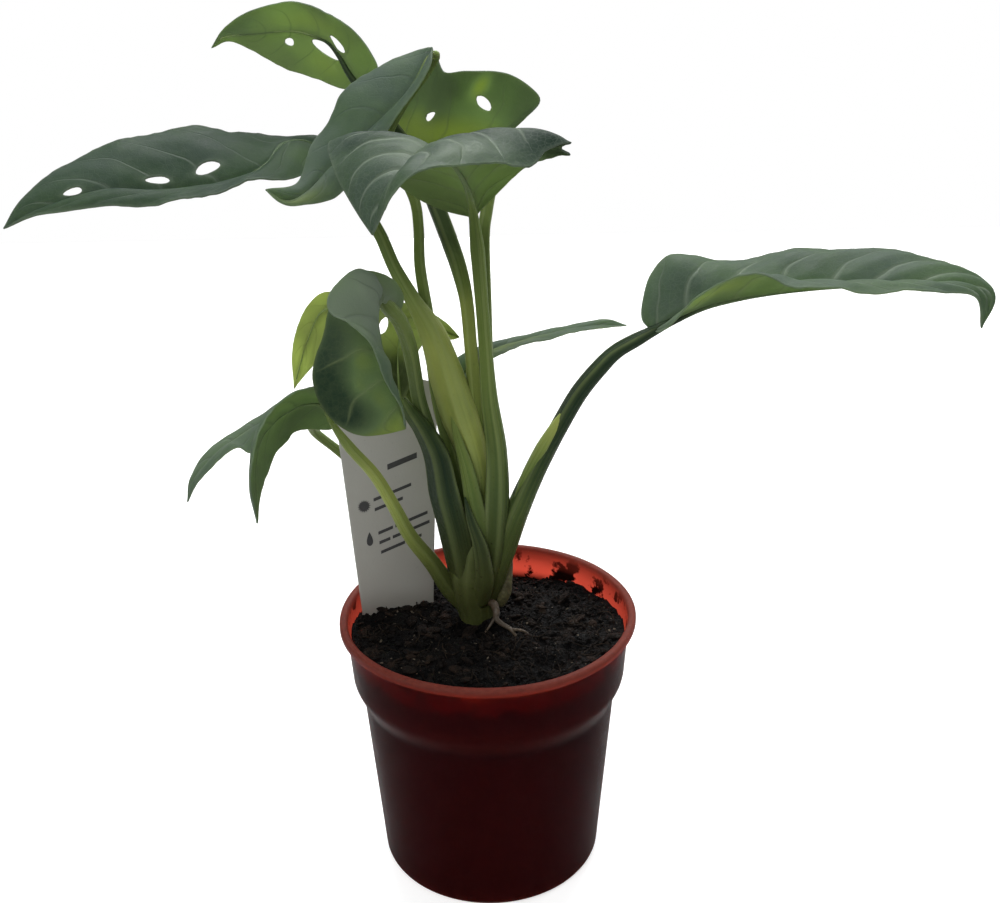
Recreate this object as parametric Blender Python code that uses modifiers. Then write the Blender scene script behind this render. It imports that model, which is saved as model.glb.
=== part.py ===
# Potted swiss cheese vine (Monstera adansonii) in a small nursery pot, with soil and a bare plant label.
# Metres, +Z up. The origin is the centre of the pot's underside; the plant is seen from -Y in its usual view.
import math

import bmesh
import bpy
import numpy as np
from mathutils import Vector
from mathutils.geometry import delaunay_2d_cdt

MM = 0.001

# Pot
RIM_RADIUS = 52.5
POT_HEIGHT = 98.4
LIP_HEIGHT = 2.8
LIP_WIDTH = 2.9
COLLAR_TOP_RADIUS = 50.0
COLLAR_LOW_RADIUS = 48.9
COLLAR_LOW_Z = 77.0
STEP_LOW_Z = 66.0
STEP_POINTS = 5
BODY_TOP_RADIUS = 45.4
BASE_RADIUS = 40.2
FOOT_CURVE = 3.0
FOOT_POINTS = 4
LIP_ROUND = 0.9
FLOOR_CURVE = 2.5
WALL = 1.3
FLOOR = 1.8
POT_STEPS = 48
DRAIN_HOLES = 6
DRAIN_RADIUS = 4.0
DRAIN_RING = 25.0
SHARP_ANGLE = 40.0

# Soil
SOIL_LEVEL = 91.5
SOIL_SLOPE = 0.085
SOIL_BUMP = 0.8
SOIL_STEPS = 48
SOIL_TOP_RINGS = 7
SOIL_SIDE = 8.0
GAP = 0.4

# Crown
CROWN_X = -4.0
CROWN_Y = 9.0
CROWN_RADIUS = 10.4
CROWN_DEPTH = 14.0
CROWN_HOLE = CROWN_RADIUS + GAP
CROWN_PROFILE = ((0.0, 0.75), (0.35, 0.97), (1.0, 0.97), (1.35, 0.70))

# Label
LABEL_THICK = 0.8
LABEL_FOOT = (-33.0, 16.0, 92.5)
LABEL_TURN = 22.0
LABEL_LEAN_SIDE = 0.7
LABEL_LEAN_BACK = 4.0
LABEL_HALF_FOOT = 13.8
LABEL_HALF_TOP = 19.2
LABEL_ABOVE = 84.0
LABEL_BELOW = 36.0
LABEL_CORNER = 6.0
LABEL_CORNER_POINTS = 6
LABEL_POINT = ((0.45, 0.86), (0.92, 0.40))

# Leaves and stalks
BLADE_THICK = 0.7
LEAF_COLOUR = (0.08, 0.17, 0.05)
LEAF_ROUGHNESS = 0.38
RIB_STATIONS = 20
ACROSS = (-0.78, -0.52, -0.26, 0.0, 0.26, 0.52, 0.78)
HOLE_SIDES = 12
HOLE_CLEAR = 1.35
PATTERN_FULLNESS = 0.7
CURVE_POINTS = 161
SPAN_POINTS = 24
TIP_STEP = 0.01
MARGIN_SHIFT = 0.37
STALK_STATIONS = 18
STALK_TIP = 0.45
STALK_GAP = 1.0
STALK_TAPER = 2.5
STALK_NECK = 0.72

# Each leaf is a lofted sheet: its midrib, its left and its right margin are smooth curves through these
# points in mm, from the stalk to the tip. Margins begin and end on the midrib's ends. "bulge" arches each
# half (share of its width), "wave" ripples the margin (mm, ripples, start), and a hole is
# (place along the midrib, place across, length mm, width mm, turn in degrees).
LEAVES = {
    "leaf_top_left": {
        "rib": [(-39, 34, 275), (-44, 38, 283), (-49, 43, 288), (-60, 50, 291), (-75, 56, 290),
                 (-86, 60, 289), (-91, 62, 285)],
        "left": [(-32, 30, 281), (-42, 34, 294), (-57, 44, 300), (-73, 52, 298), (-85, 59, 292)],
        "right": [(-44, 42, 273), (-56, 50, 276), (-69, 57, 280), (-83, 62, 287)],
        "bulge": (0.1, 0.1), "wave": (0.5, 3, 0.2),
        "holes": [(0.295, -0.2, 13, 4.6, -6), (0.245, 0.17, 8, 2.2, 10), (0.53, -0.31, 3.8, 3.0, 0),
                  (0.11, -0.54, 2.8, 2.2, 0)],
    },
    "leaf_top_drape": {
        "rib": [(-14, 18, 288), (-21, 8, 277), (-32, 2, 267), (-44, -6, 257), (-51, -18, 251),
                 (-56, -26, 250), (-61, -30, 254)],
        "left": [(-14, 10, 284), (-18, 5, 278), (-24, 0, 270), (-33, -6, 260), (-42, -14, 249),
                 (-52, -24, 248), (-57, -29, 250)],
        "right": [(-20, 24, 286), (-33, 21, 281), (-41, 15, 276), (-46, 8, 268), (-51, -1, 261),
                 (-54, -16, 253)],
        "bulge": (0.1, 0.1), "wave": (0.5, 4, 0.6),
        "holes": [],
    },
    "leaf_top_back": {
        "rib": [(8, 34, 257), (-3, 37, 252), (-17, 44, 251), (-31, 53, 252), (-44, 68, 262)],
        "left": [(16, 30, 265), (20, 29, 271), (10, 31, 278), (-3, 34, 279), (-11, 42, 278), (-14, 45, 283),
                 (-20, 50, 280), (-29, 55, 271)],
        "right": [(9, 42, 253), (0, 51, 242), (-14, 58, 239), (-29, 66, 241), (-41, 71, 252)],
        "bulge": (0.1, 0.1), "wave": (0.6, 3, 0.0),
        "holes": [(0.345, 0.69, 14, 2.2, 50), (0.527, 0.45, 4.4, 2.8, 116)],
    },
    "leaf_front": {
        "rib": [(-2, 2, 238), (-3, -6, 247), (-7, -20, 258), (-14, -34, 266), (-20, -54, 264),
                 (-24, -64, 257), (-28, -68, 249)],
        "left": [(7, -4, 248), (15, -14, 257), (25, -30, 263), (14, -44, 262), (5, -54, 264),
                 (-6, -64, 266), (-15, -72, 266), (-22, -74, 260)],
        "right": [(-11, 4, 240), (-22, 6, 245), (-33, -9, 257), (-43, -19, 265), (-40, -40, 261),
                 (-34, -57, 255)],
        "bulge": (0.16, 0.1), "wave": (0.5, 4, 0.3),
        "holes": [],
    },
    "leaf_far_left": {
        "rib": [(-48, 22, 256), (-57, 20, 260), (-62, 14, 260), (-67, 2, 255), (-76, -6, 252),
                 (-92, -12, 251), (-110, -20, 253), (-127, -27, 249), (-137, -30, 244)],
        "left": [(-49, 14, 253), (-56, 0, 252), (-67, -12, 253), (-78, -18, 251), (-90, -22, 249),
                 (-106, -26, 249), (-125, -30, 248)],
        "right": [(-52, 32, 259), (-67, 28, 260), (-79, 22, 263), (-92, 15, 265), (-105, 6, 264),
                 (-120, -6, 260), (-132, -22, 252)],
        "bulge": (0.1, 0.1), "wave": (0.6, 5, 0.1),
        "holes": [(0.44, -0.2, 8.0, 4.0, 10), (0.58, -0.12, 7.0, 3.0, 0), (0.8, -0.1, 5.5, 3.0, 0)],
    },
    "leaf_far_right": {
        "rib": [(54, -8, 203), (60, -9, 207), (68, -10, 211), (77, -12, 214), (88, -16, 217),
                 (102, -22, 220), (124, -30, 223), (140, -36, 224), (147, -38, 221), (146, -40, 212)],
        "left": [(51, -5, 206), (52, 0, 212), (55, 6, 218), (61, 10, 223), (70, 11, 222), (81, 9, 221),
                 (103, 2, 226), (124, -8, 228), (141, -22, 227), (151, -33, 221)],
        "right": [(56, -12, 204), (60, -19, 210), (64, -25, 218), (71, -28, 224), (82, -32, 227),
                 (92, -38, 225), (108, -44, 225), (127, -46, 225), (141, -44, 223)],
        "bulge": (0.08, 0.08), "wave": (0.6, 5, 0.5),
        "holes": [],
    },
    "leaf_slim_right": {
        "rib": [(-10, 38, 170), (1, 42, 180), (17, 48, 183), (38, 55, 185), (54, 60, 184)],
        "left": [(-10, 44, 177), (3, 50, 181), (23, 57, 183), (44, 61, 186)],
        "right": [(-5, 34, 170), (3, 36, 180), (26, 44, 185), (45, 54, 185)],
        "bulge": (0.12, 0.12), "wave": (0.3, 3, 0.0),
        "holes": [],
    },
    "leaf_mid_hood": {
        "rib": [(-29, -30, 223), (-30, -36, 222), (-30, -41, 219), (-29, -45, 213), (-27, -47, 205),
                 (-25, -48, 197), (-23, -48, 187)],
        "left": [(-24, -28, 222), (-22, -23, 221), (-27, -25, 226), (-33, -31, 230), (-40, -36, 229),
                 (-44, -39, 222), (-46, -43, 214), (-48, -46, 209), (-49, -48, 203), (-47, -49, 195),
                 (-42, -50, 189), (-36, -50, 186), (-29, -49, 186)],
        "right": [(-30, -33, 227), (-31, -38, 231), (-35, -44, 234), (-39, -51, 233), (-42, -55, 229),
                 (-41, -57, 225), (-37, -58, 223), (-33, -57, 218), (-30, -56, 212), (-27, -54, 203),
                 (-24, -51, 195)],
        "bulge": (-0.1, 0.12), "wave": (0.5, 3, 0.4),
        "holes": [],
    },
    "leaf_mid_back": {
        "rib": [(-44, 14, 196), (-46, 18, 203), (-54, 24, 202), (-61, 28, 189), (-67, 30, 172)],
        "left": [(-41, 18, 204), (-46, 24, 208), (-55, 28, 207), (-63, 30, 198), (-67, 31, 184)],
        "right": [(-47, 18, 190), (-54, 22, 185), (-59, 26, 182), (-64, 29, 176)],
        "bulge": (0.12, 0.12), "wave": (0.4, 3, 0.0),
        "holes": [],
    },
    "leaf_low_near": {
        "rib": [(-46, -25, 179), (-50, -30, 189), (-58, -38, 190), (-63, -46, 188), (-66, -52, 184),
                 (-67, -56, 175), (-67, -58, 162)],
        "left": [(-46, -38, 196), (-54, -44, 198), (-62, -54, 194), (-65, -60, 188), (-67, -62, 175)],
        "right": [(-49, -22, 177), (-58, -28, 179), (-61, -34, 178), (-64, -44, 175), (-66, -52, 170)],
        "bulge": (0.1, 0.1), "wave": (0.4, 3, 0.5),
        "holes": [],
    },
    "leaf_low_far": {
        "rib": [(-61, 0, 177), (-73, -4, 173), (-83, -8, 168), (-90, -11, 162), (-96, -13, 155),
                 (-98, -14, 149)],
        "left": [(-62, -14, 174), (-74, -16, 167), (-79, -17, 169), (-86, -18, 165), (-92, -18, 159)],
        "right": [(-66, 10, 176), (-74, 8, 170), (-81, 5, 167), (-88, 2, 164), (-93, -2, 161),
                 (-97, -8, 156)],
        "bulge": (0.1, 0.1), "wave": (0.4, 3, 0.2),
        "holes": [],
    },
    "leaf_small_back": {
        "rib": [(-27, -5, 179), (-28, 2, 186), (-28, 10, 194), (-26, 18, 200), (-20, 24, 199),
                 (-13, 28, 193), (-8, 30, 190)],
        "left": [(-34, -2, 181), (-38, 4, 189), (-39, 12, 197), (-36, 18, 203), (-29, 22, 205),
                 (-21, 26, 202), (-13, 29, 196)],
        "right": [(-24, -2, 184), (-22, 9, 191), (-19, 21, 192), (-15, 28, 191), (-11, 31, 189)],
        "bulge": (0.1, 0.1), "wave": (0.4, 3, 0.7),
        "holes": [(0.46, 0.55, 6.0, 3.0, 0)],
    },
}

# Each stalk runs from its leaf down to the crown: points in mm, and radii spread evenly along it. The wide
# parts are the sheaths that clasp the next stalk.
CROWN = (CROWN_X, CROWN_Y, 90)
STALKS = {
    "far_left": ([(-48, 22, 256), (-41, 16, 244), (-33, 12, 232), (-28, 8, 221), (-22, 6, 210),
                  (-16, 4, 199), (-12, 2, 186), (-8, 2, 172), (-4, 3, 158), (-2, 4, 144), (-3, 6, 122),
                  CROWN],
                 [1.7, 1.9, 2.0, 2.1, 2.6, 4.3, 5.6, 6.2, 5.2, 3.8, 3.2, 3.0]),
    "top_drape": ([(-14, 18, 288), (-13, 21, 285), (-17, 24, 279), (-24, 23, 270), (-30, 18, 260),
                   (-27, 16, 250), (-23, 15, 241), (-21, 14, 232), (-21, 13, 220), (-19, 11, 204),
                   (-15, 8, 175), (-6, 6, 131), CROWN],
                  [1.3, 1.5, 1.6, 1.6, 1.6, 1.6, 1.7, 1.7, 1.8, 2.0, 2.5, 3.0, 3.0]),
    "top_left": ([(-39, 34, 275), (-32, 34, 266), (-24, 31, 256), (-18, 26, 246), (-14, 22, 237),
                  (-9, 19, 227), (-5, 16, 218), (-2, 12, 206), (-1, 9, 192), (0, 8, 168), (-1, 8, 138),
                  CROWN],
                 [1.8, 2.2, 2.5, 2.7, 2.8, 2.8, 2.8, 2.8, 3.0, 3.5, 4.0, 4.0]),
    "front": ([(-2, 2, 238), (-1, 0, 228), (0, -1, 212), (1, -2, 196), (2, -3, 179), (4, -3, 161),
               (4, -2, 142), (2, 2, 117), CROWN],
              [2.5, 2.3, 2.1, 2.2, 2.7, 3.5, 4.1, 4.0, 4.0]),
    "top_back": ([(8, 34, 257), (6, 29, 252), (0, 20, 245), (-3, 13, 237), (-4, 9, 230), (-4, 7, 210),
                  (-2, 5, 176), (0, 4, 139), CROWN],
                 [1.8, 1.9, 2.0, 2.0, 2.0, 2.2, 2.6, 3.0, 3.0]),
    "far_right": ([(54, -8, 203), (49, -8, 200), (43, -7, 196), (38, -7, 191), (31, -5, 181), (24, -3, 167),
                   (17, -1, 152), (11, 0, 137), (6, 3, 121), (2, 5, 108), CROWN],
                  [2.4, 2.2, 2.4, 2.7, 2.9, 3.0, 3.5, 4.1, 4.5, 4.5, 4.0]),
    "mid_hood": ([(-29, -30, 223), (-28, -26, 218), (-25, -20, 211), (-23, -13, 201), (-22, -9, 191),
                  (-21, -5, 180), (-18, 0, 164), (-15, 3, 144), (-10, 6, 115), CROWN],
                 [1.6, 1.9, 2.4, 2.4, 2.3, 2.3, 2.5, 3.0, 4.0, 4.0]),
    "small_back": ([(-27, -5, 179), (-24, -6, 176), (-20, -6, 170), (-16, -5, 160), (-14, -3, 146),
                    (-11, 0, 130), (-8, 4, 110), CROWN],
                   [1.7, 2.4, 3.2, 4.2, 5.0, 5.2, 5.0, 4.0]),
    "low_near": ([(-46, -25, 179), (-43, -22, 171), (-36, -17, 159), (-31, -12, 146), (-26, -6, 131),
                  (-19, 0, 117), (-13, 4, 104), CROWN],
                 [1.5, 1.7, 1.9, 2.1, 2.4, 2.8, 3.2, 3.0]),
    "mid_back": ([(-44, 14, 196), (-33, 12, 187), (-26, 10, 178), (-20, 10, 163), (-16, 10, 144),
                  (-10, 9, 114), CROWN],
                 [1.4, 1.6, 1.6, 1.7, 1.8, 2.0, 2.0]),
    "low_far": ([(-61, 0, 177), (-59, 6, 170), (-59, 18, 160), (-50, 28, 146), (-36, 31, 127),
                 (-22, 27, 108), CROWN],
                [1.4, 1.6, 1.6, 1.7, 1.7, 1.8, 2.0]),
    "slim_right": ([(-10, 38, 170), (-9, 32, 158), (-6, 24, 138), (-3, 14, 111), CROWN],
                   [1.5, 1.7, 1.8, 2.0, 2.0]),
}

# Pale bud and aerial roots on the crown: points in mm, and radii spread evenly along them.
NUBS = [
    ([(4, 7, 97), (6, 6, 102), (7, 6, 108), (8, 7, 114), (8, 8, 119)], [2.6, 2.8, 2.2, 1.3, 0.7]),
    ([(0, 4, 101), (3, 2, 103), (5, -1, 101), (7, -3, 98), (9, -4, 95)], [1.5, 1.6, 1.4, 1.2, 0.9]),
    ([(-9, 3, 98), (-12, -1, 96), (-14, -3, 95)], [1.3, 1.1, 0.9]),
]


def clear_scene():
    for old in list(bpy.data.objects):
        bpy.data.objects.remove(old)


def new_collection(name, hidden=False):
    made = bpy.data.collections.new(name)
    bpy.context.scene.collection.children.link(made)
    made.hide_render = hidden
    return made


def material(name, colour, roughness, metallic=0.0):
    made = bpy.data.materials.new(name)
    made.use_nodes = True
    shader = made.node_tree.nodes["Principled BSDF"]
    shader.inputs["Base Color"].default_value = (*colour, 1.0)
    shader.inputs["Roughness"].default_value = roughness
    shader.inputs["Metallic"].default_value = metallic
    made.diffuse_color = (*colour, 1.0)
    return made


def mesh_object(name, points, faces, collection, slot=None):
    mesh = bpy.data.meshes.new(name)
    mesh.from_pydata([tuple(p) for p in points], [], faces)
    obj = bpy.data.objects.new(name, mesh)
    collection.objects.link(obj)
    if slot:
        mesh.materials.append(slot)
    return obj


def evaluated_copy(obj):
    bpy.context.view_layer.update()
    graph = bpy.context.evaluated_depsgraph_get()
    return bpy.data.meshes.new_from_object(obj.evaluated_get(graph))


def bake(obj):
    obj.data = evaluated_copy(obj)
    obj.modifiers.clear()


def smooth(obj, degrees):
    obj.data.shade_smooth()
    obj.data.set_sharp_from_angle(angle=math.radians(degrees))


def spline(points, count):
    # A smooth curve through the points, as `count` points at equal distances.
    given = np.array(points, float)
    ends = np.vstack([2 * given[0] - given[1], given, 2 * given[-1] - given[-2]])
    dense = []
    for before, start, end, after in zip(ends, ends[1:], ends[2:], ends[3:]):
        for t in np.linspace(0, 1, SPAN_POINTS, endpoint=False):
            dense.append(0.5 * (2 * start + (end - before) * t
                                + (2 * before - 5 * start + 4 * end - after) * t ** 2
                                + (3 * start - before - 3 * end + after) * t ** 3))
    dense = np.array(dense + [given[-1]])
    steps = np.linalg.norm(np.diff(dense, axis=0), axis=1)
    along = np.concatenate([[0], np.cumsum(steps)])
    wanted = np.linspace(0, along[-1], count)
    curve = np.stack([np.interp(wanted, along, dense[:, k]) for k in range(3)], axis=1)
    return curve, along[-1]


def at(curve, u):
    grid = np.linspace(0, 1, len(curve))
    return np.array([np.interp(u, grid, curve[:, k]) for k in range(3)])


def blade_surface(leaf):
    # Returns the midrib's length, the widest half and a function from (along, across) to a point in mm.
    rib, length = spline(leaf["rib"], CURVE_POINTS)
    ends = leaf["rib"][0], leaf["rib"][-1]
    margins = [spline([ends[0], *leaf[side], ends[1]], CURVE_POINTS)[0] for side in ("left", "right")]
    width = max(np.linalg.norm(margin - rib, axis=1).max() for margin in margins)
    height, ripples, start = leaf["wave"]

    def point(u, v):
        left = v >= 0
        middle = at(rib, u)
        edge = at(margins[0 if left else 1], u)
        ahead = at(rib, min(u + TIP_STEP, 1)) - at(rib, max(u - TIP_STEP, 0))
        ahead /= np.linalg.norm(ahead)
        across = edge - middle if left else middle - edge
        up = np.cross(ahead, across)
        away = abs(v)
        arch = leaf["bulge"][0 if left else 1] * 4 * away * (1 - away)
        ripple = height * away ** 2 * math.sin(math.pi * u)
        ripple *= math.sin(2 * math.pi * (ripples * u + start + MARGIN_SHIFT * left))
        size = np.linalg.norm(up)
        out = middle + (edge - middle) * away + up * arch
        return out + up / size * ripple if size > 1e-6 else out

    return length, width, point


def in_hole(x, y, holes, grow=1.0):
    for cx, cy, long, wide, turn in holes:
        c, s = math.cos(turn), math.sin(turn)
        dx, dy = x - cx, y - cy
        a, b = (c * dx + s * dy) / (long / 2 * grow), (c * dy - s * dx) / (wide / 2 * grow)
        if a * a + b * b < 1:
            return True
    return False


def blade(name, leaf, collection, slot):
    # The flat pattern of the leaf is cut into triangles round its holes, then laid on the lofted sheet.
    length, width, point = blade_surface(leaf)

    def half(u):
        return width * math.sin(math.pi * u) ** PATTERN_FULLNESS

    holes = [(u * length, v * half(u), long, wide, math.radians(turn))
             for u, v, long, wide, turn in leaf["holes"]]
    stations = np.linspace(0, 1, RIB_STATIONS)[1:-1]
    places = [(0, 0)] + [(u, 1) for u in stations] + [(1, 0)] + [(u, -1) for u in stations[::-1]]
    rim = len(places)
    edges = [(i, (i + 1) % rim) for i in range(rim)]
    flat = [(u * length, v * half(u)) for u, v in places]
    for cx, cy, long, wide, turn in holes:
        first = len(flat)
        for k in range(HOLE_SIDES):
            angle = 2 * math.pi * k / HOLE_SIDES
            a, b = long / 2 * math.cos(angle), wide / 2 * math.sin(angle)
            flat.append((cx + a * math.cos(turn) - b * math.sin(turn),
                         cy + a * math.sin(turn) + b * math.cos(turn)))
        edges += [(first + k, first + (k + 1) % HOLE_SIDES) for k in range(HOLE_SIDES)]
    for u in stations:
        for v in ACROSS:
            x, y = u * length, v * half(u)
            if not in_hole(x, y, holes, HOLE_CLEAR):
                flat.append((x, y))
    points, _, triangles, *_ = delaunay_2d_cdt([Vector(p) for p in flat], edges, [], 0, 1e-5)
    kept = []
    for corners in triangles:
        x = sum(points[k][0] for k in corners) / 3
        y = sum(points[k][1] for k in corners) / 3
        if not in_hole(x, y, holes):
            kept.append(tuple(corners))
    laid = []
    for x, y in points:
        u = min(max(x / length, 0), 1)
        spread = half(u)
        v = min(max(y / spread, -1), 1) if spread > 1e-6 else 0
        laid.append(point(u, v) * MM)
    obj = mesh_object(name, laid, kept, collection, slot)
    thick = obj.modifiers.new("thickness", "SOLIDIFY")
    thick.thickness = BLADE_THICK * MM
    thick.offset = 0
    bake(obj)
    smooth(obj, SHARP_ANGLE)
    return obj


def tube(name, path, radii, collection):
    curve = bpy.data.curves.new(name, "CURVE")
    curve.dimensions = "3D"
    curve.bevel_depth = MM
    curve.bevel_resolution = 2
    curve.use_fill_caps = True
    line = curve.splines.new("POLY")
    line.points.add(len(path) - 1)
    for k, (place, radius) in enumerate(zip(path, radii)):
        line.points[k].co = (*(np.array(place) * MM), 1)
        line.points[k].radius = radius
    obj = bpy.data.objects.new(name, curve)
    collection.objects.link(obj)
    mesh = evaluated_copy(obj)
    bpy.data.objects.remove(obj)
    build = bmesh.new()
    build.from_mesh(mesh)
    bmesh.ops.remove_doubles(build, verts=build.verts, dist=1e-6)
    bmesh.ops.recalc_face_normals(build, faces=build.faces)
    build.to_mesh(mesh)
    build.free()
    joined = bpy.data.objects.new(name, mesh)
    collection.objects.link(joined)
    return joined


def stalk(name, points, radii, collection):
    # The stalk stops just short of its blade, with a narrow end.
    path, length = spline(points, CURVE_POINTS)
    places = np.linspace(STALK_GAP / length, 1, STALK_STATIONS)
    places = np.insert(places, 1, (STALK_GAP + STALK_TAPER) / length)
    sizes = np.interp(places, np.linspace(0, 1, len(radii)), radii)
    sizes[0] = STALK_TIP
    sizes[1] *= STALK_NECK
    return tube(name, [at(path, u) for u in places], sizes, collection)


def cylinder(name, centre, radius, height, sides, collection):
    mesh = bpy.data.meshes.new(name)
    build = bmesh.new()
    bmesh.ops.create_cone(build, cap_ends=True, segments=sides, radius1=radius * MM, radius2=radius * MM,
                          depth=height * MM)
    bmesh.ops.translate(build, verts=build.verts, vec=[c * MM for c in centre])
    build.to_mesh(mesh)
    build.free()
    obj = bpy.data.objects.new(name, mesh)
    obj.display_type = "WIRE"
    collection.objects.link(obj)
    return obj


def boolean(obj, operation, operand, solver="EXACT"):
    step = obj.modifiers.new(operation.lower(), "BOOLEAN")
    step.operation = operation
    step.solver = solver
    if isinstance(operand, bpy.types.Collection):
        step.operand_type = "COLLECTION"
        step.collection = operand
    else:
        step.object = operand
    bake(obj)


def revolve(name, profile, steps, collection, slot=None):
    count = len(profile)
    edges = [(k, k + 1) for k in range(count - 1)]
    mesh = bpy.data.meshes.new(name)
    mesh.from_pydata([(r * MM, 0, z * MM) for r, z in profile], edges, [])
    obj = bpy.data.objects.new(name, mesh)
    collection.objects.link(obj)
    if slot:
        mesh.materials.append(slot)
    turn = obj.modifiers.new("turn", "SCREW")
    turn.steps = steps
    turn.render_steps = steps
    turn.use_merge_vertices = True
    turn.merge_threshold = 1e-5
    turn.use_smooth_shade = True
    bake(obj)
    return obj


def body_radius(z):
    return BASE_RADIUS + (BODY_TOP_RADIUS - BASE_RADIUS) * z / STEP_LOW_Z


def collar_step(inset):
    # The collar's lower end curves in to the body.
    out = []
    for k in range(STEP_POINTS):
        t = k / (STEP_POINTS - 1)
        blend = t * t * (3 - 2 * t)
        radius = COLLAR_LOW_RADIUS + (BODY_TOP_RADIUS - COLLAR_LOW_RADIUS) * blend
        out.append((radius - inset, COLLAR_LOW_Z + (STEP_LOW_Z - COLLAR_LOW_Z) * t))
    return out


def pot_outside():
    lip_low = POT_HEIGHT - LIP_HEIGHT
    edge = LIP_ROUND / 2
    profile = [(RIM_RADIUS - LIP_WIDTH + LIP_ROUND, POT_HEIGHT), (RIM_RADIUS - LIP_ROUND, POT_HEIGHT),
               (RIM_RADIUS - edge / 2, POT_HEIGHT - edge / 2), (RIM_RADIUS, POT_HEIGHT - LIP_ROUND),
               (RIM_RADIUS, lip_low + edge), (RIM_RADIUS - edge, lip_low), (COLLAR_TOP_RADIUS + edge, lip_low),
               (COLLAR_TOP_RADIUS, lip_low - edge)]
    profile += collar_step(0)
    foot = body_radius(FOOT_CURVE)
    for k in range(FOOT_POINTS):
        angle = math.radians(90 * k / (FOOT_POINTS - 1))
        profile.append((foot - FOOT_CURVE + FOOT_CURVE * math.cos(angle),
                        FOOT_CURVE - FOOT_CURVE * math.sin(angle)))
    return profile


def pot_inside():
    # From the floor's middle up to the lip's inner edge.
    curve = FLOOR_CURVE
    profile = [(body_radius(FLOOR) - WALL - curve, FLOOR), (body_radius(FLOOR + curve) - WALL, FLOOR + curve)]
    profile += reversed(collar_step(WALL))
    inner = RIM_RADIUS - LIP_WIDTH
    profile += [(inner, POT_HEIGHT - LIP_HEIGHT), (inner + LIP_ROUND / 3, POT_HEIGHT - LIP_ROUND / 2)]
    return profile


def make_pot(collection, cutters, slot):
    profile = [*pot_outside(), (0, 0)]
    inside = [(0, FLOOR), *pot_inside()]
    outline = profile + inside + [profile[0]]
    pot = revolve("pot", outline, POT_STEPS, collection, slot)
    drains = bpy.data.collections.new("drains")
    cutters.children.link(drains)
    for k in range(DRAIN_HOLES):
        angle = 2 * math.pi * (k + 0.5) / DRAIN_HOLES
        centre = (DRAIN_RING * math.cos(angle), DRAIN_RING * math.sin(angle), FLOOR / 2)
        cylinder(f"drain_{k}", centre, DRAIN_RADIUS, 4 * FLOOR, 16, drains)
    boolean(pot, "DIFFERENCE", drains)
    smooth(pot, SHARP_ANGLE)
    return pot


def soil_height(x, y):
    bumps = math.sin(0.21 * x + 1.1) * math.cos(0.17 * y - 0.4) + 0.6 * math.sin(0.33 * x - 0.29 * y)
    return SOIL_LEVEL - SOIL_SLOPE * y + SOIL_BUMP * bumps


def make_soil(collection, cutters, slot):
    wall = [(r - GAP, z + (GAP if z < FLOOR + 1 else 0)) for r, z in pot_inside()
            if z < SOIL_LEVEL - SOIL_SIDE]
    top_radius = COLLAR_TOP_RADIUS - WALL - 2 * GAP
    rings = [(top_radius * k / SOIL_TOP_RINGS, SOIL_LEVEL) for k in range(SOIL_TOP_RINGS + 1)]
    outline = [*rings, *reversed(wall), (0, FLOOR + GAP)]
    soil = revolve("soil", outline, SOIL_STEPS, collection, slot)
    for vertex in soil.data.vertices:
        if vertex.co.z > (SOIL_LEVEL - 1) * MM:
            vertex.co.z = soil_height(vertex.co.x / MM, vertex.co.y / MM) * MM
    holes = bpy.data.collections.new("soil_holes")
    cutters.children.link(holes)
    top = POT_HEIGHT + SOIL_SIDE
    low = CROWN[2] - CROWN_DEPTH - GAP
    cylinder("crown_hole", (CROWN_X, CROWN_Y, (top + low) / 2), CROWN_HOLE, top - low, 32, holes)
    label_slab("label_slot", GAP, holes)
    boolean(soil, "DIFFERENCE", holes)
    smooth(soil, SHARP_ANGLE)
    return soil


def label_outline(grow):
    half_foot, half_top = LABEL_HALF_FOOT + grow, LABEL_HALF_TOP + grow
    above, below = LABEL_ABOVE + grow, LABEL_BELOW + grow
    outline = [(0, -below)] + [(half_foot * x, -below * z) for x, z in LABEL_POINT] + [(half_foot, 0)]
    corner = LABEL_CORNER
    for k in range(LABEL_CORNER_POINTS):
        angle = math.radians(90 * k / (LABEL_CORNER_POINTS - 1))
        outline.append((half_top - corner + corner * math.cos(angle),
                        above - corner + corner * math.sin(angle)))
    return outline + [(-x, z) for x, z in reversed(outline[1:])]


def label_slab(name, grow, collection, slot=None):
    side, back = math.radians(LABEL_LEAN_SIDE), math.radians(LABEL_LEAN_BACK)
    turn = math.radians(LABEL_TURN)
    across = Vector((math.cos(turn) * math.cos(side), math.sin(turn) * math.cos(side), -math.sin(side)))
    up = Vector((math.sin(side), math.sin(back), math.cos(side) * math.cos(back))).normalized()
    up = (up - across * up.dot(across)).normalized()
    out = across.cross(up)
    thick = LABEL_THICK / 2 + grow
    outline = label_outline(grow)
    points = []
    for shift in (-thick, thick):
        points += [(Vector(LABEL_FOOT) + across * x + up * z + out * shift) * MM for x, z in outline]
    count = len(outline)
    faces = [tuple(range(count)), tuple(range(2 * count - 1, count - 1, -1))]
    faces += [(k, count + k, count + (k + 1) % count, (k + 1) % count) for k in range(count)]
    obj = mesh_object(name, points, faces, collection, slot)
    build = bmesh.new()
    build.from_mesh(obj.data)
    bmesh.ops.recalc_face_normals(build, faces=build.faces)
    build.to_mesh(obj.data)
    build.free()
    return obj


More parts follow.
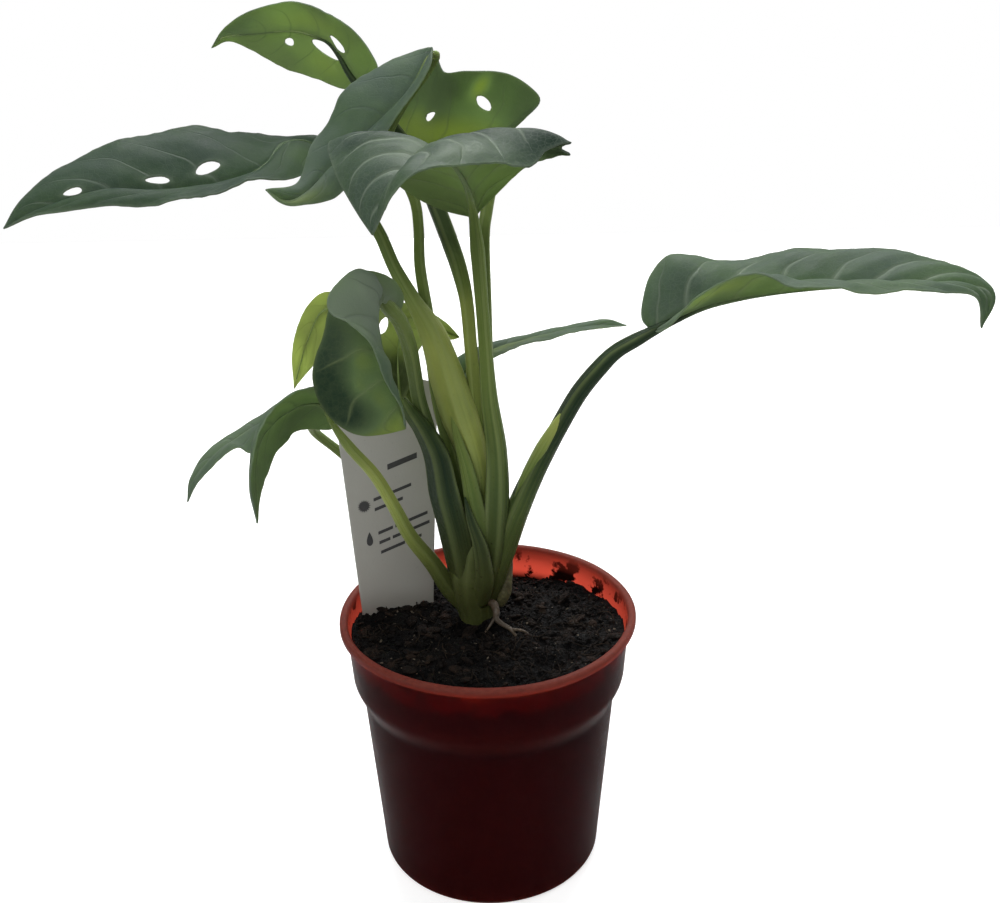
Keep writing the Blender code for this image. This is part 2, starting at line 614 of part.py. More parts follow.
def make_stems(collection, cutters, slot):
    pieces = bpy.data.collections.new("stem_pieces")
    cutters.children.link(pieces)
    low = CROWN[2] - CROWN_DEPTH
    path = [(CROWN_X, CROWN_Y, low + CROWN_DEPTH * rise) for rise, _ in CROWN_PROFILE]
    core = tube("stems", path, [CROWN_RADIUS * share for _, share in CROWN_PROFILE], collection)
    core.data.materials.append(slot)
    for name, (points, radii) in STALKS.items():
        stalk("stalk_" + name, points, radii, pieces)
    for k, (points, radii) in enumerate(NUBS):
        tube(f"nub_{k}", points, radii, pieces)
    boolean(core, "UNION", pieces, "MANIFOLD")
    for piece in list(pieces.objects):
        bpy.data.objects.remove(piece)
    smooth(core, SHARP_ANGLE)
    return core


def main():
    clear_scene()
    plant = new_collection("potted_swiss_cheese_vine")
    cutters = new_collection("cutters", hidden=True)
    make_pot(plant, cutters, material("pot_plastic", (0.16, 0.035, 0.025), 0.28))
    make_soil(plant, cutters, material("soil_peat", (0.018, 0.014, 0.012), 0.95))
    label_slab("plant_label", 0, plant, material("label_plastic", (0.55, 0.55, 0.56), 0.45))
    make_stems(plant, cutters, material("stalk_green", (0.22, 0.30, 0.05), 0.42))
    young = {"leaf_mid_back": (0.24, 0.34, 0.04), "leaf_small_back": (0.20, 0.30, 0.05)}
    for name, leaf in LEAVES.items():
        green = material(name + "_green", young.get(name, LEAF_COLOUR), LEAF_ROUGHNESS)
        blade(name, leaf, plant, green)
    for group in cutters.children_recursive:
        for cutter in group.objects:
            cutter.hide_render = True


main()
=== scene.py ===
import math
import random

import bmesh
import bpy
import numpy as np
from mathutils import Matrix, Vector, noise


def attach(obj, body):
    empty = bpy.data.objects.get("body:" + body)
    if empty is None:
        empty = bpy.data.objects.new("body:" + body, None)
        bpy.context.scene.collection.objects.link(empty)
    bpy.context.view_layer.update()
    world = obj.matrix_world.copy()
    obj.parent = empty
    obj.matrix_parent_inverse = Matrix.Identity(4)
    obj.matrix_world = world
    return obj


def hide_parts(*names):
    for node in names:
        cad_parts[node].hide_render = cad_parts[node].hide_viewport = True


# A young swiss cheese vine in a nursery pot: fine leaves, stalks, soil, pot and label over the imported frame.
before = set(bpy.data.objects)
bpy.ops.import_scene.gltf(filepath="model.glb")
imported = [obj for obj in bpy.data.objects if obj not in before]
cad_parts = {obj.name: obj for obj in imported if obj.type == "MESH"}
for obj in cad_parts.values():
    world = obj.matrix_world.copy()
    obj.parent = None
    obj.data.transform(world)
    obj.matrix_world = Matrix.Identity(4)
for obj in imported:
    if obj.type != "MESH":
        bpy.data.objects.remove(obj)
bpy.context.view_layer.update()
mm = 0.001
scene = bpy.context.scene
print("frame loaded:", len(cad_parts), "nodes")


# Camera and stage

view = {
    "place": (0.0, -0.390, 0.3229),
    "pitch": 22.79,     # degrees down
    "turn": 0.76,       # degrees toward +X
    "roll": -0.80,
    "lens": 45.2,
    "sensor": 36,
    "nearClip": 0.01,
}


def addCamera():
    pitch, turn, roll = (math.radians(view[k]) for k in ("pitch", "turn", "roll"))
    ahead = Vector((math.sin(turn) * math.cos(pitch), math.cos(turn) * math.cos(pitch), -math.sin(pitch)))
    side = Vector((math.cos(turn), -math.sin(turn), 0))
    top = side.cross(ahead)
    sideRolled = side * math.cos(roll) + top * math.sin(roll)
    topRolled = top * math.cos(roll) - side * math.sin(roll)
    data = bpy.data.cameras.new("photoCamera")
    data.lens = view["lens"]
    data.sensor_width = view["sensor"]
    data.clip_start = view["nearClip"]
    camera = bpy.data.objects.new("photoCamera", data)
    scene.collection.objects.link(camera)
    axes = Matrix((sideRolled, topRolled, -ahead)).transposed()
    camera.matrix_world = Matrix.Translation(view["place"]) @ axes.to_4x4()
    scene.camera = camera


studio = {
    "floorColour": (0.55, 0.55, 0.55),
    "floorSize": 2.0,
    "floorGlow": 0.60,          # seen by the camera alone, so that the floor comes out white
    "skyBehind": 0.72,          # light from behind the plant
    "skyInFront": 0.42,         # and from behind the camera, which sees a white sky itself
    "skyTurn": (-0.3, 0.8),     # where one goes over into the other, from front to back
    "lamps": [
        # name, place, aimed at, size, watts
        ("backLight", (0.10, 1.00, 1.25), (0.0, 0.15, 0.05), 1.1, 24),
        ("topLight", (-0.25, 0.30, 1.50), (0.0, 0.15, 0.0), 0.9, 7),
        ("rightWindow", (0.9, 0.5, 0.5), (0.0, 0.0, 0.12), 0.30, 2.5),
        ("frontFill", (-0.45, -1.20, 1.35), (0.0, 0.0, 0.20), 1.3, 17),
    ],
}


def seenDirectly(tree):
    return tree.nodes.new("ShaderNodeLightPath").outputs["Is Camera Ray"]


def addSky():
    world = bpy.data.worlds.new("softRoom")
    world.use_nodes = True
    tree = world.node_tree
    background = tree.nodes["Background"]
    background.inputs["Color"].default_value = (1, 1, 1, 1)
    way = tree.nodes.new("ShaderNodeSeparateXYZ")
    tree.links.new(tree.nodes.new("ShaderNodeTexCoord").outputs["Generated"], way.inputs[0])
    sky = span(tree, way.outputs["Y"], *studio["skyTurn"], studio["skyInFront"], studio["skyBehind"])
    tree.links.new(maths(tree, "MAXIMUM", sky, seenDirectly(tree)), background.inputs["Strength"])
    scene.world = world


def addFloor():
    paint, tree, shader = startMaterial("paleFloor")
    shader.inputs["Base Color"].default_value = (*studio["floorColour"], 1)
    shader.inputs["Roughness"].default_value = 0.9
    shader.inputs["Specular IOR Level"].default_value = 0.0
    shader.inputs["Emission Color"].default_value = (1, 1, 1, 1)
    tree.links.new(times(tree, seenDirectly(tree), studio["floorGlow"]), shader.inputs["Emission Strength"])
    half = studio["floorSize"] / 2
    corners = [(-half, -half, 0), (half, -half, 0), (half, half, 0), (-half, half, 0)]
    floor = meshObject("paleFloor", corners, [(0, 1, 2, 3)], [paint])


def addStudio():
    addSky()
    for name, spot, aim, size, watts in studio["lamps"]:
        data = bpy.data.lights.new(name, "AREA")
        data.shape = "DISK"
        data.size = size
        data.energy = watts
        lamp = bpy.data.objects.new(name, data)
        scene.collection.objects.link(lamp)
        lamp.location = spot
        lamp.rotation_euler = (Vector(aim) - Vector(spot)).to_track_quat("-Z", "Y").to_euler()
    addFloor()
    scene.view_settings.view_transform = "Standard"
    print("camera, lamps and floor made")


# Mesh helpers

def meshObject(name, points, faces, materials=(), smooth=True):
    mesh = bpy.data.meshes.new(name)
    mesh.from_pydata([tuple(p) for p in points], [], [tuple(f) for f in faces])
    mesh.update()
    if smooth:
        mesh.shade_smooth()
    obj = bpy.data.objects.new(name, mesh)
    scene.collection.objects.link(obj)
    for material in materials:
        mesh.materials.append(material)
    return obj


def pointValues(obj, name, values):
    stored = obj.data.attributes.new(name, "FLOAT", "POINT")
    stored.data.foreach_set("value", np.asarray(values, np.float32).ravel())


def place(obj, nodes):
    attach(obj, "root")
    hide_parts(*nodes)


def smoothCurve(points, count, spanPoints=24):
    # A smooth curve through the points, as count points at equal distances, and its length.
    given = np.array(points, float)
    ends = np.vstack([2 * given[0] - given[1], given, 2 * given[-1] - given[-2]])
    t = np.linspace(0, 1, spanPoints, endpoint=False)[:, None]
    dense = []
    for before, start, end, after in zip(ends, ends[1:], ends[2:], ends[3:]):
        dense.append(0.5 * (2 * start + (end - before) * t
                            + (2 * before - 5 * start + 4 * end - after) * t ** 2
                            + (3 * start - before - 3 * end + after) * t ** 3))
    dense = np.vstack(dense + [given[-1:]])
    along = np.concatenate([[0], np.cumsum(np.linalg.norm(np.diff(dense, axis=0), axis=1))])
    wanted = np.linspace(0, along[-1], count)
    return np.stack([np.interp(wanted, along, dense[:, k]) for k in range(3)], axis=1), along[-1]


def onCurve(curve, u):
    grid = np.linspace(0, 1, len(curve))
    return np.stack([np.interp(u, grid, curve[:, k]) for k in range(3)], axis=-1)


def headingOn(curve, u, reach):
    return unit(onCurve(curve, np.clip(u + reach, 0, 1)) - onCurve(curve, np.clip(u - reach, 0, 1)))


def unit(vectors):
    return vectors / np.maximum(np.linalg.norm(vectors, axis=-1, keepdims=True), 1e-9)


def smoothStep(low, high, x):
    t = np.clip((x - low) / (high - low), 0, 1)
    return t * t * (3 - 2 * t)


def bumpiness(points, scale, seed):
    # Smooth noise at each point, about -1 to 1.
    return np.array([noise.noise(Vector(p) * scale + Vector((seed, 0.7 * seed, 1.3 * seed))) for p in points])


def tubeFaces(rings, sides, low=0):
    # The sides and the two ends of a tube whose points start at number low.
    faces = []
    for k in range(rings - 1):
        for j in range(sides):
            a, b = low + k * sides + j, low + k * sides + (j + 1) % sides
            faces.append((a, b, b + sides, a + sides))
    last = low + (rings - 1) * sides
    faces.append(tuple(range(low + sides - 1, low - 1, -1)))
    faces.append(tuple(range(last, last + sides)))
    return faces


# Shader helpers

def startMaterial(name):
    material = bpy.data.materials.new(name)
    material.use_nodes = True
    tree = material.node_tree
    return material, tree, tree.nodes["Principled BSDF"]


def feed(tree, value, socket):
    if isinstance(value, bpy.types.NodeSocket):
        tree.links.new(value, socket)
    elif isinstance(value, tuple) and len(value) == 3 and socket.type == "RGBA":
        socket.default_value = (*value, 1)
    else:
        socket.default_value = value


def maths(tree, operation, a, b=0.0, clamp=False):
    node = tree.nodes.new("ShaderNodeMath")
    node.operation = operation
    node.use_clamp = clamp
    feed(tree, a, node.inputs[0])
    feed(tree, b, node.inputs[1])
    return node.outputs[0]


def times(tree, a, b):
    return maths(tree, "MULTIPLY", a, b)


def plus(tree, a, b):
    return maths(tree, "ADD", a, b)


def minus(tree, a, b):
    return maths(tree, "SUBTRACT", a, b)


def addUp(tree, start, *parts):
    # The start plus each mask times its amount.
    for mask, amount in parts:
        start = plus(tree, start, times(tree, mask, amount))
    return start


def fadeOut(tree, distance, width):
    # 1 in the middle, down to 0 at the width.
    return maths(tree, "SUBTRACT", 1.0, maths(tree, "DIVIDE", distance, width), clamp=True)


def mixColour(tree, factor, a, b):
    node = tree.nodes.new("ShaderNodeMix")
    node.data_type = "RGBA"
    feed(tree, factor, node.inputs[0])
    feed(tree, a, node.inputs[6])
    feed(tree, b, node.inputs[7])
    return node.outputs[2]


def layer(tree, body, colour, mask, amount):
    # The body's colour goes toward another one by the mask times the amount.
    return mixColour(tree, maths(tree, "MULTIPLY", mask, amount, clamp=True), body, colour)


def span(tree, value, low, high, toLow=0.0, toHigh=1.0):
    node = tree.nodes.new("ShaderNodeMapRange")
    node.interpolation_type = "SMOOTHSTEP"
    for socket, given in zip(node.inputs, (value, low, high, toLow, toHigh)):
        feed(tree, given, socket)
    return node.outputs[0]


def pointValue(tree, name):
    node = tree.nodes.new("ShaderNodeAttribute")
    node.attribute_name = name
    return node.outputs["Fac"]


def objectPlace(tree):
    return tree.nodes.new("ShaderNodeTexCoord").outputs["Object"]


def noiseValue(tree, scale, detail, vector=None):
    node = tree.nodes.new("ShaderNodeTexNoise")
    node.inputs["Scale"].default_value = scale
    node.inputs["Detail"].default_value = detail
    node.inputs["Roughness"].default_value = 0.55
    tree.links.new(vector or objectPlace(tree), node.inputs["Vector"])
    return node.outputs["Fac"]


def stretched(tree, vector, scale):
    node = tree.nodes.new("ShaderNodeMapping")
    node.inputs["Scale"].default_value = scale
    tree.links.new(vector, node.inputs["Vector"])
    return node.outputs[0]


def bump(tree, height, strength, distance):
    node = tree.nodes.new("ShaderNodeBump")
    node.inputs["Strength"].default_value = strength
    node.inputs["Distance"].default_value = distance
    tree.links.new(height, node.inputs["Height"])
    return node.outputs[0]


def dress(tree, shader, colour, rough, normal, gloss=0.5):
    tree.links.new(colour, shader.inputs["Base Color"])
    tree.links.new(rough, shader.inputs["Roughness"])
    tree.links.new(normal, shader.inputs["Normal"])
    shader.inputs["Specular IOR Level"].default_value = gloss


def startGroup(name, inputs, outputs):
    # inputs: names of number sockets with their values. outputs: names of number sockets.
    group = bpy.data.node_groups.new(name, "ShaderNodeTree")
    for label, value in inputs.items():
        socket = group.interface.new_socket(label, in_out="INPUT", socket_type="NodeSocketFloat")
        socket.default_value = value
    for label in outputs:
        group.interface.new_socket(label, in_out="OUTPUT", socket_type="NodeSocketFloat")
    return group, group.nodes.new("NodeGroupInput").outputs, group.nodes.new("NodeGroupOutput").inputs


def useGroup(tree, group, **values):
    node = tree.nodes.new("ShaderNodeGroup")
    node.node_tree = group
    for label, value in values.items():
        feed(tree, value, node.inputs[label])
    return node.outputs


def letThrough(tree, shader, colour, share, normal=None):
    # Light from behind passes through the thin wall of a leaf or of the pot.
    through = tree.nodes.new("ShaderNodeBsdfTranslucent")
    feed(tree, colour, through.inputs["Color"])
    if normal is not None:
        tree.links.new(normal, through.inputs["Normal"])
    mix = tree.nodes.new("ShaderNodeMixShader")
    feed(tree, share, mix.inputs[0])
    tree.links.new(shader.outputs[0], mix.inputs[1])
    tree.links.new(through.outputs[0], mix.inputs[2])
    tree.links.new(mix.outputs[0], tree.nodes["Material Output"].inputs["Surface"])


def makeMottle():
    # Broad and fine changes of tone, both 0 to 1.
    group, given, made = startGroup("mottle", {"Broad Scale": 30.0, "Fine Scale": 300.0}, ["Broad", "Fine"])
    vector = objectPlace(group)
    for label, detail in (("Broad", 2.0), ("Fine", 4.0)):
        node = group.nodes.new("ShaderNodeTexNoise")
        node.inputs["Detail"].default_value = detail
        group.links.new(vector, node.inputs["Vector"])
        group.links.new(given[label + " Scale"], node.inputs["Scale"])
        group.links.new(span(group, node.outputs["Fac"], 0.32, 0.68), made[label])
    return group


def makeSpecks():
    # Small scattered dots, such as dust, pores or brown flecks.
    group, given, made = startGroup("specks", {"Scale": 900.0, "Amount": 0.3, "Size": 0.25}, ["Mask"])
    cells = group.nodes.new("ShaderNodeTexVoronoi")
    group.links.new(objectPlace(group), cells.inputs["Vector"])
    group.links.new(given["Scale"], cells.inputs["Scale"])
    chance = maths(group, "FRACT", times(group, cells.outputs["Color"], 7.31))
    picked = maths(group, "LESS_THAN", chance, given["Amount"])
    dot = fadeOut(group, cells.outputs["Distance"], given["Size"])
    group.links.new(times(group, dot, picked), made["Mask"])
    return group


def makeVeins():
    # The midrib, the side veins that curve toward the tip, and the fine net between them.
    group, given, made = startGroup("leafVeins", {"Count": 7.0, "Sweep": 0.2, "Width": 0.05, "Wander": 0.3},
                                    ["Lines", "Net", "Quilt"])
    along = pointValue(group, "along")
    away = maths(group, "ABSOLUTE", pointValue(group, "across"))
    forward = times(group, maths(group, "POWER", away, 1.3), given["Sweep"])
    counted = times(group, minus(group, along, forward), given["Count"])
    wander = times(group, minus(group, noiseValue(group, 70.0, 1.0), 0.5), given["Wander"])
    turn = maths(group, "FRACT", plus(group, counted, wander))
    fromVein = minus(group, 0.5, maths(group, "ABSOLUTE", minus(group, turn, 0.5)))
    thin = times(group, given["Width"], minus(group, 1.15, away))
    side = fadeOut(group, fromVein, maths(group, "MAXIMUM", thin, 0.002))
    side = times(group, side, span(group, away, 1.0, 0.72))
    ribPlace = times(group, away, pointValue(group, "halfWidth"))
    midrib = fadeOut(group, ribPlace, times(group, minus(group, 1.05, along), 0.75))
    group.links.new(maths(group, "MAXIMUM", side, midrib), made["Lines"])
    cells = group.nodes.new("ShaderNodeTexVoronoi")
    cells.feature = "DISTANCE_TO_EDGE"
    cells.inputs["Scale"].default_value = 620.0
    group.links.new(objectPlace(group), cells.inputs["Vector"])
    group.links.new(span(group, cells.outputs["Distance"], 0.10, 0.0), made["Net"])
    puff = maths(group, "SINE", times(group, fromVein, math.pi), clamp=True)
    group.links.new(maths(group, "POWER", puff, 0.6), made["Quilt"])
    return group


mottle = makeMottle()
specks = makeSpecks()
veins = makeVeins()
print("shader groups made")


def mottled(tree, broad, fine):
    return useGroup(tree, mottle, **{"Broad Scale": broad, "Fine Scale": fine})


def speckled(tree, scale, amount, size):
    return useGroup(tree, specks, Scale=scale, Amount=amount, Size=size)["Mask"]


# Leaves

leafLook = {
    # Colours are linear. upper and under: base, pale and vein colour of each face.
    # through and share: the colour and the part of the light that passes the blade.
    # bright and dark: painted light and painted shade, mixed in by a leaf's tone and spots. The grey sheen
    # colour after them is a painted sheen. throughBright: the light through the blade where the painted light
    # lies.
    "mature": {"upper": [(0.052, 0.080, 0.064), (0.074, 0.106, 0.090), (0.190, 0.235, 0.180)],
               "under": [(0.078, 0.122, 0.058), (0.108, 0.158, 0.076), (0.170, 0.220, 0.100)],
               "bright": (0.190, 0.240, 0.055), "dark": (0.012, 0.032, 0.020), "paintedSheen": (0.240, 0.290, 0.230),
               "through": (0.47, 0.62, 0.27), "share": 0.42},
    "young": {"upper": [(0.100, 0.145, 0.045), (0.150, 0.205, 0.070), (0.26, 0.31, 0.14)],
              "under": [(0.160, 0.210, 0.070), (0.200, 0.255, 0.085), (0.29, 0.34, 0.13)],
              "bright": (0.26, 0.31, 0.07), "dark": (0.035, 0.055, 0.016), "paintedSheen": (0.24, 0.29, 0.16),
              "through": (0.70, 0.80, 0.34), "share": 0.52},
    "throughBright": (0.62, 0.74, 0.16),
    "dust": (0.22, 0.25, 0.18),
    "wander": 0.5,      # how far the side veins sway
    "roughness": 0.42,
    "gloss": 0.06,
}


def leafMaterial(name, leaf, side):
    look = leafLook[leaf["age"]]
    base, pale, veinColour = look[side]
    sign, paintedLightShift = (1.0, leaf["tone"][0]) if side == "upper" else (-0.7, leaf["tone"][1])
    count, sweep, width, strength = leaf["veins"]
    material, tree, shader = startMaterial(name)
    vein = useGroup(tree, veins, Count=count, Sweep=sweep, Width=width, Wander=leafLook["wander"])
    tone = mottled(tree, 45.0, 420.0)
    dust = speckled(tree, 1500.0, 0.12, 0.28)
    # Painted light and shade from the spots and the face's tone: above 0 toward bright, below 0 toward dark.
    shade = plus(tree, pointValue(tree, "shade"), paintedLightShift)
    body = mixColour(tree, tone["Broad"], base, pale)
    body = layer(tree, body, look["bright"], shade, 0.85)
    body = layer(tree, body, look["dark"], shade, -0.85)
    # Painted grey sheen where the blade catches the light.
    body = mixColour(tree, pointValue(tree, "paintedSheen"), body, look["paintedSheen"])
    # In the vein colour: fine tone, vein net, veins, and the painted highlight along the margin and round the
    # holes.
    for mask, amount in ((tone["Fine"], 0.10), (vein["Net"], 0.07 + 0.35 * max(0.0, strength - 0.5)),
                         (vein["Lines"], strength), (pointValue(tree, "paintedEdgeLight"), 0.6)):
        body = layer(tree, body, veinColour, mask, amount)
    body = layer(tree, body, leafLook["dust"], dust, 0.25)
    rough = addUp(tree, leafLook["roughness"], (tone["Fine"], 0.16))
    relief = addUp(tree, 0.0, (vein["Lines"], -sign * (0.12 + 0.6 * strength)),
                   (vein["Quilt"], leaf["quilt"] * sign), (vein["Net"], -0.05 * sign), (tone["Fine"], 0.08))
    normal = bump(tree, relief, 0.6, 0.0006)
    dress(tree, shader, body, rough, normal, leafLook["gloss"])
    glow = mixColour(tree, tone["Broad"], look["through"], tuple(c * 0.6 for c in look["through"]))
    # The painted light and shade also brighten and darken the light through the blade.
    glow = layer(tree, glow, leafLook["throughBright"], shade, 0.8)
    glow = layer(tree, glow, look["dark"], shade, -0.9)
    glow = layer(tree, glow, look["upper"][0], vein["Lines"], 0.3)
    letThrough(tree, shader, glow, look["share"], normal)
    return material


leafShape = {
    "stations": 110,     # rows along the blade
    "thickness": 0.5,
    "fullness": 0.7,     # same flat pattern as the solid's, so that the holes agree
    "groove": 0.55,      # mm that the midrib lies below the upper face
    "grooveWidth": 1.3,
    "pucker": 0.30,      # mm of unevenness all over
    "frill": 0.22,       # and at the margin
    "column": 0.7,       # mm between its grid lines across, with 24 to 46 lines in each half
    "paintedHoleLight": 0.45,    # mm that the painted highlight on the edge reaches from a hole
    "paintedEdgeLight": 0.40,    # and from the margin
}

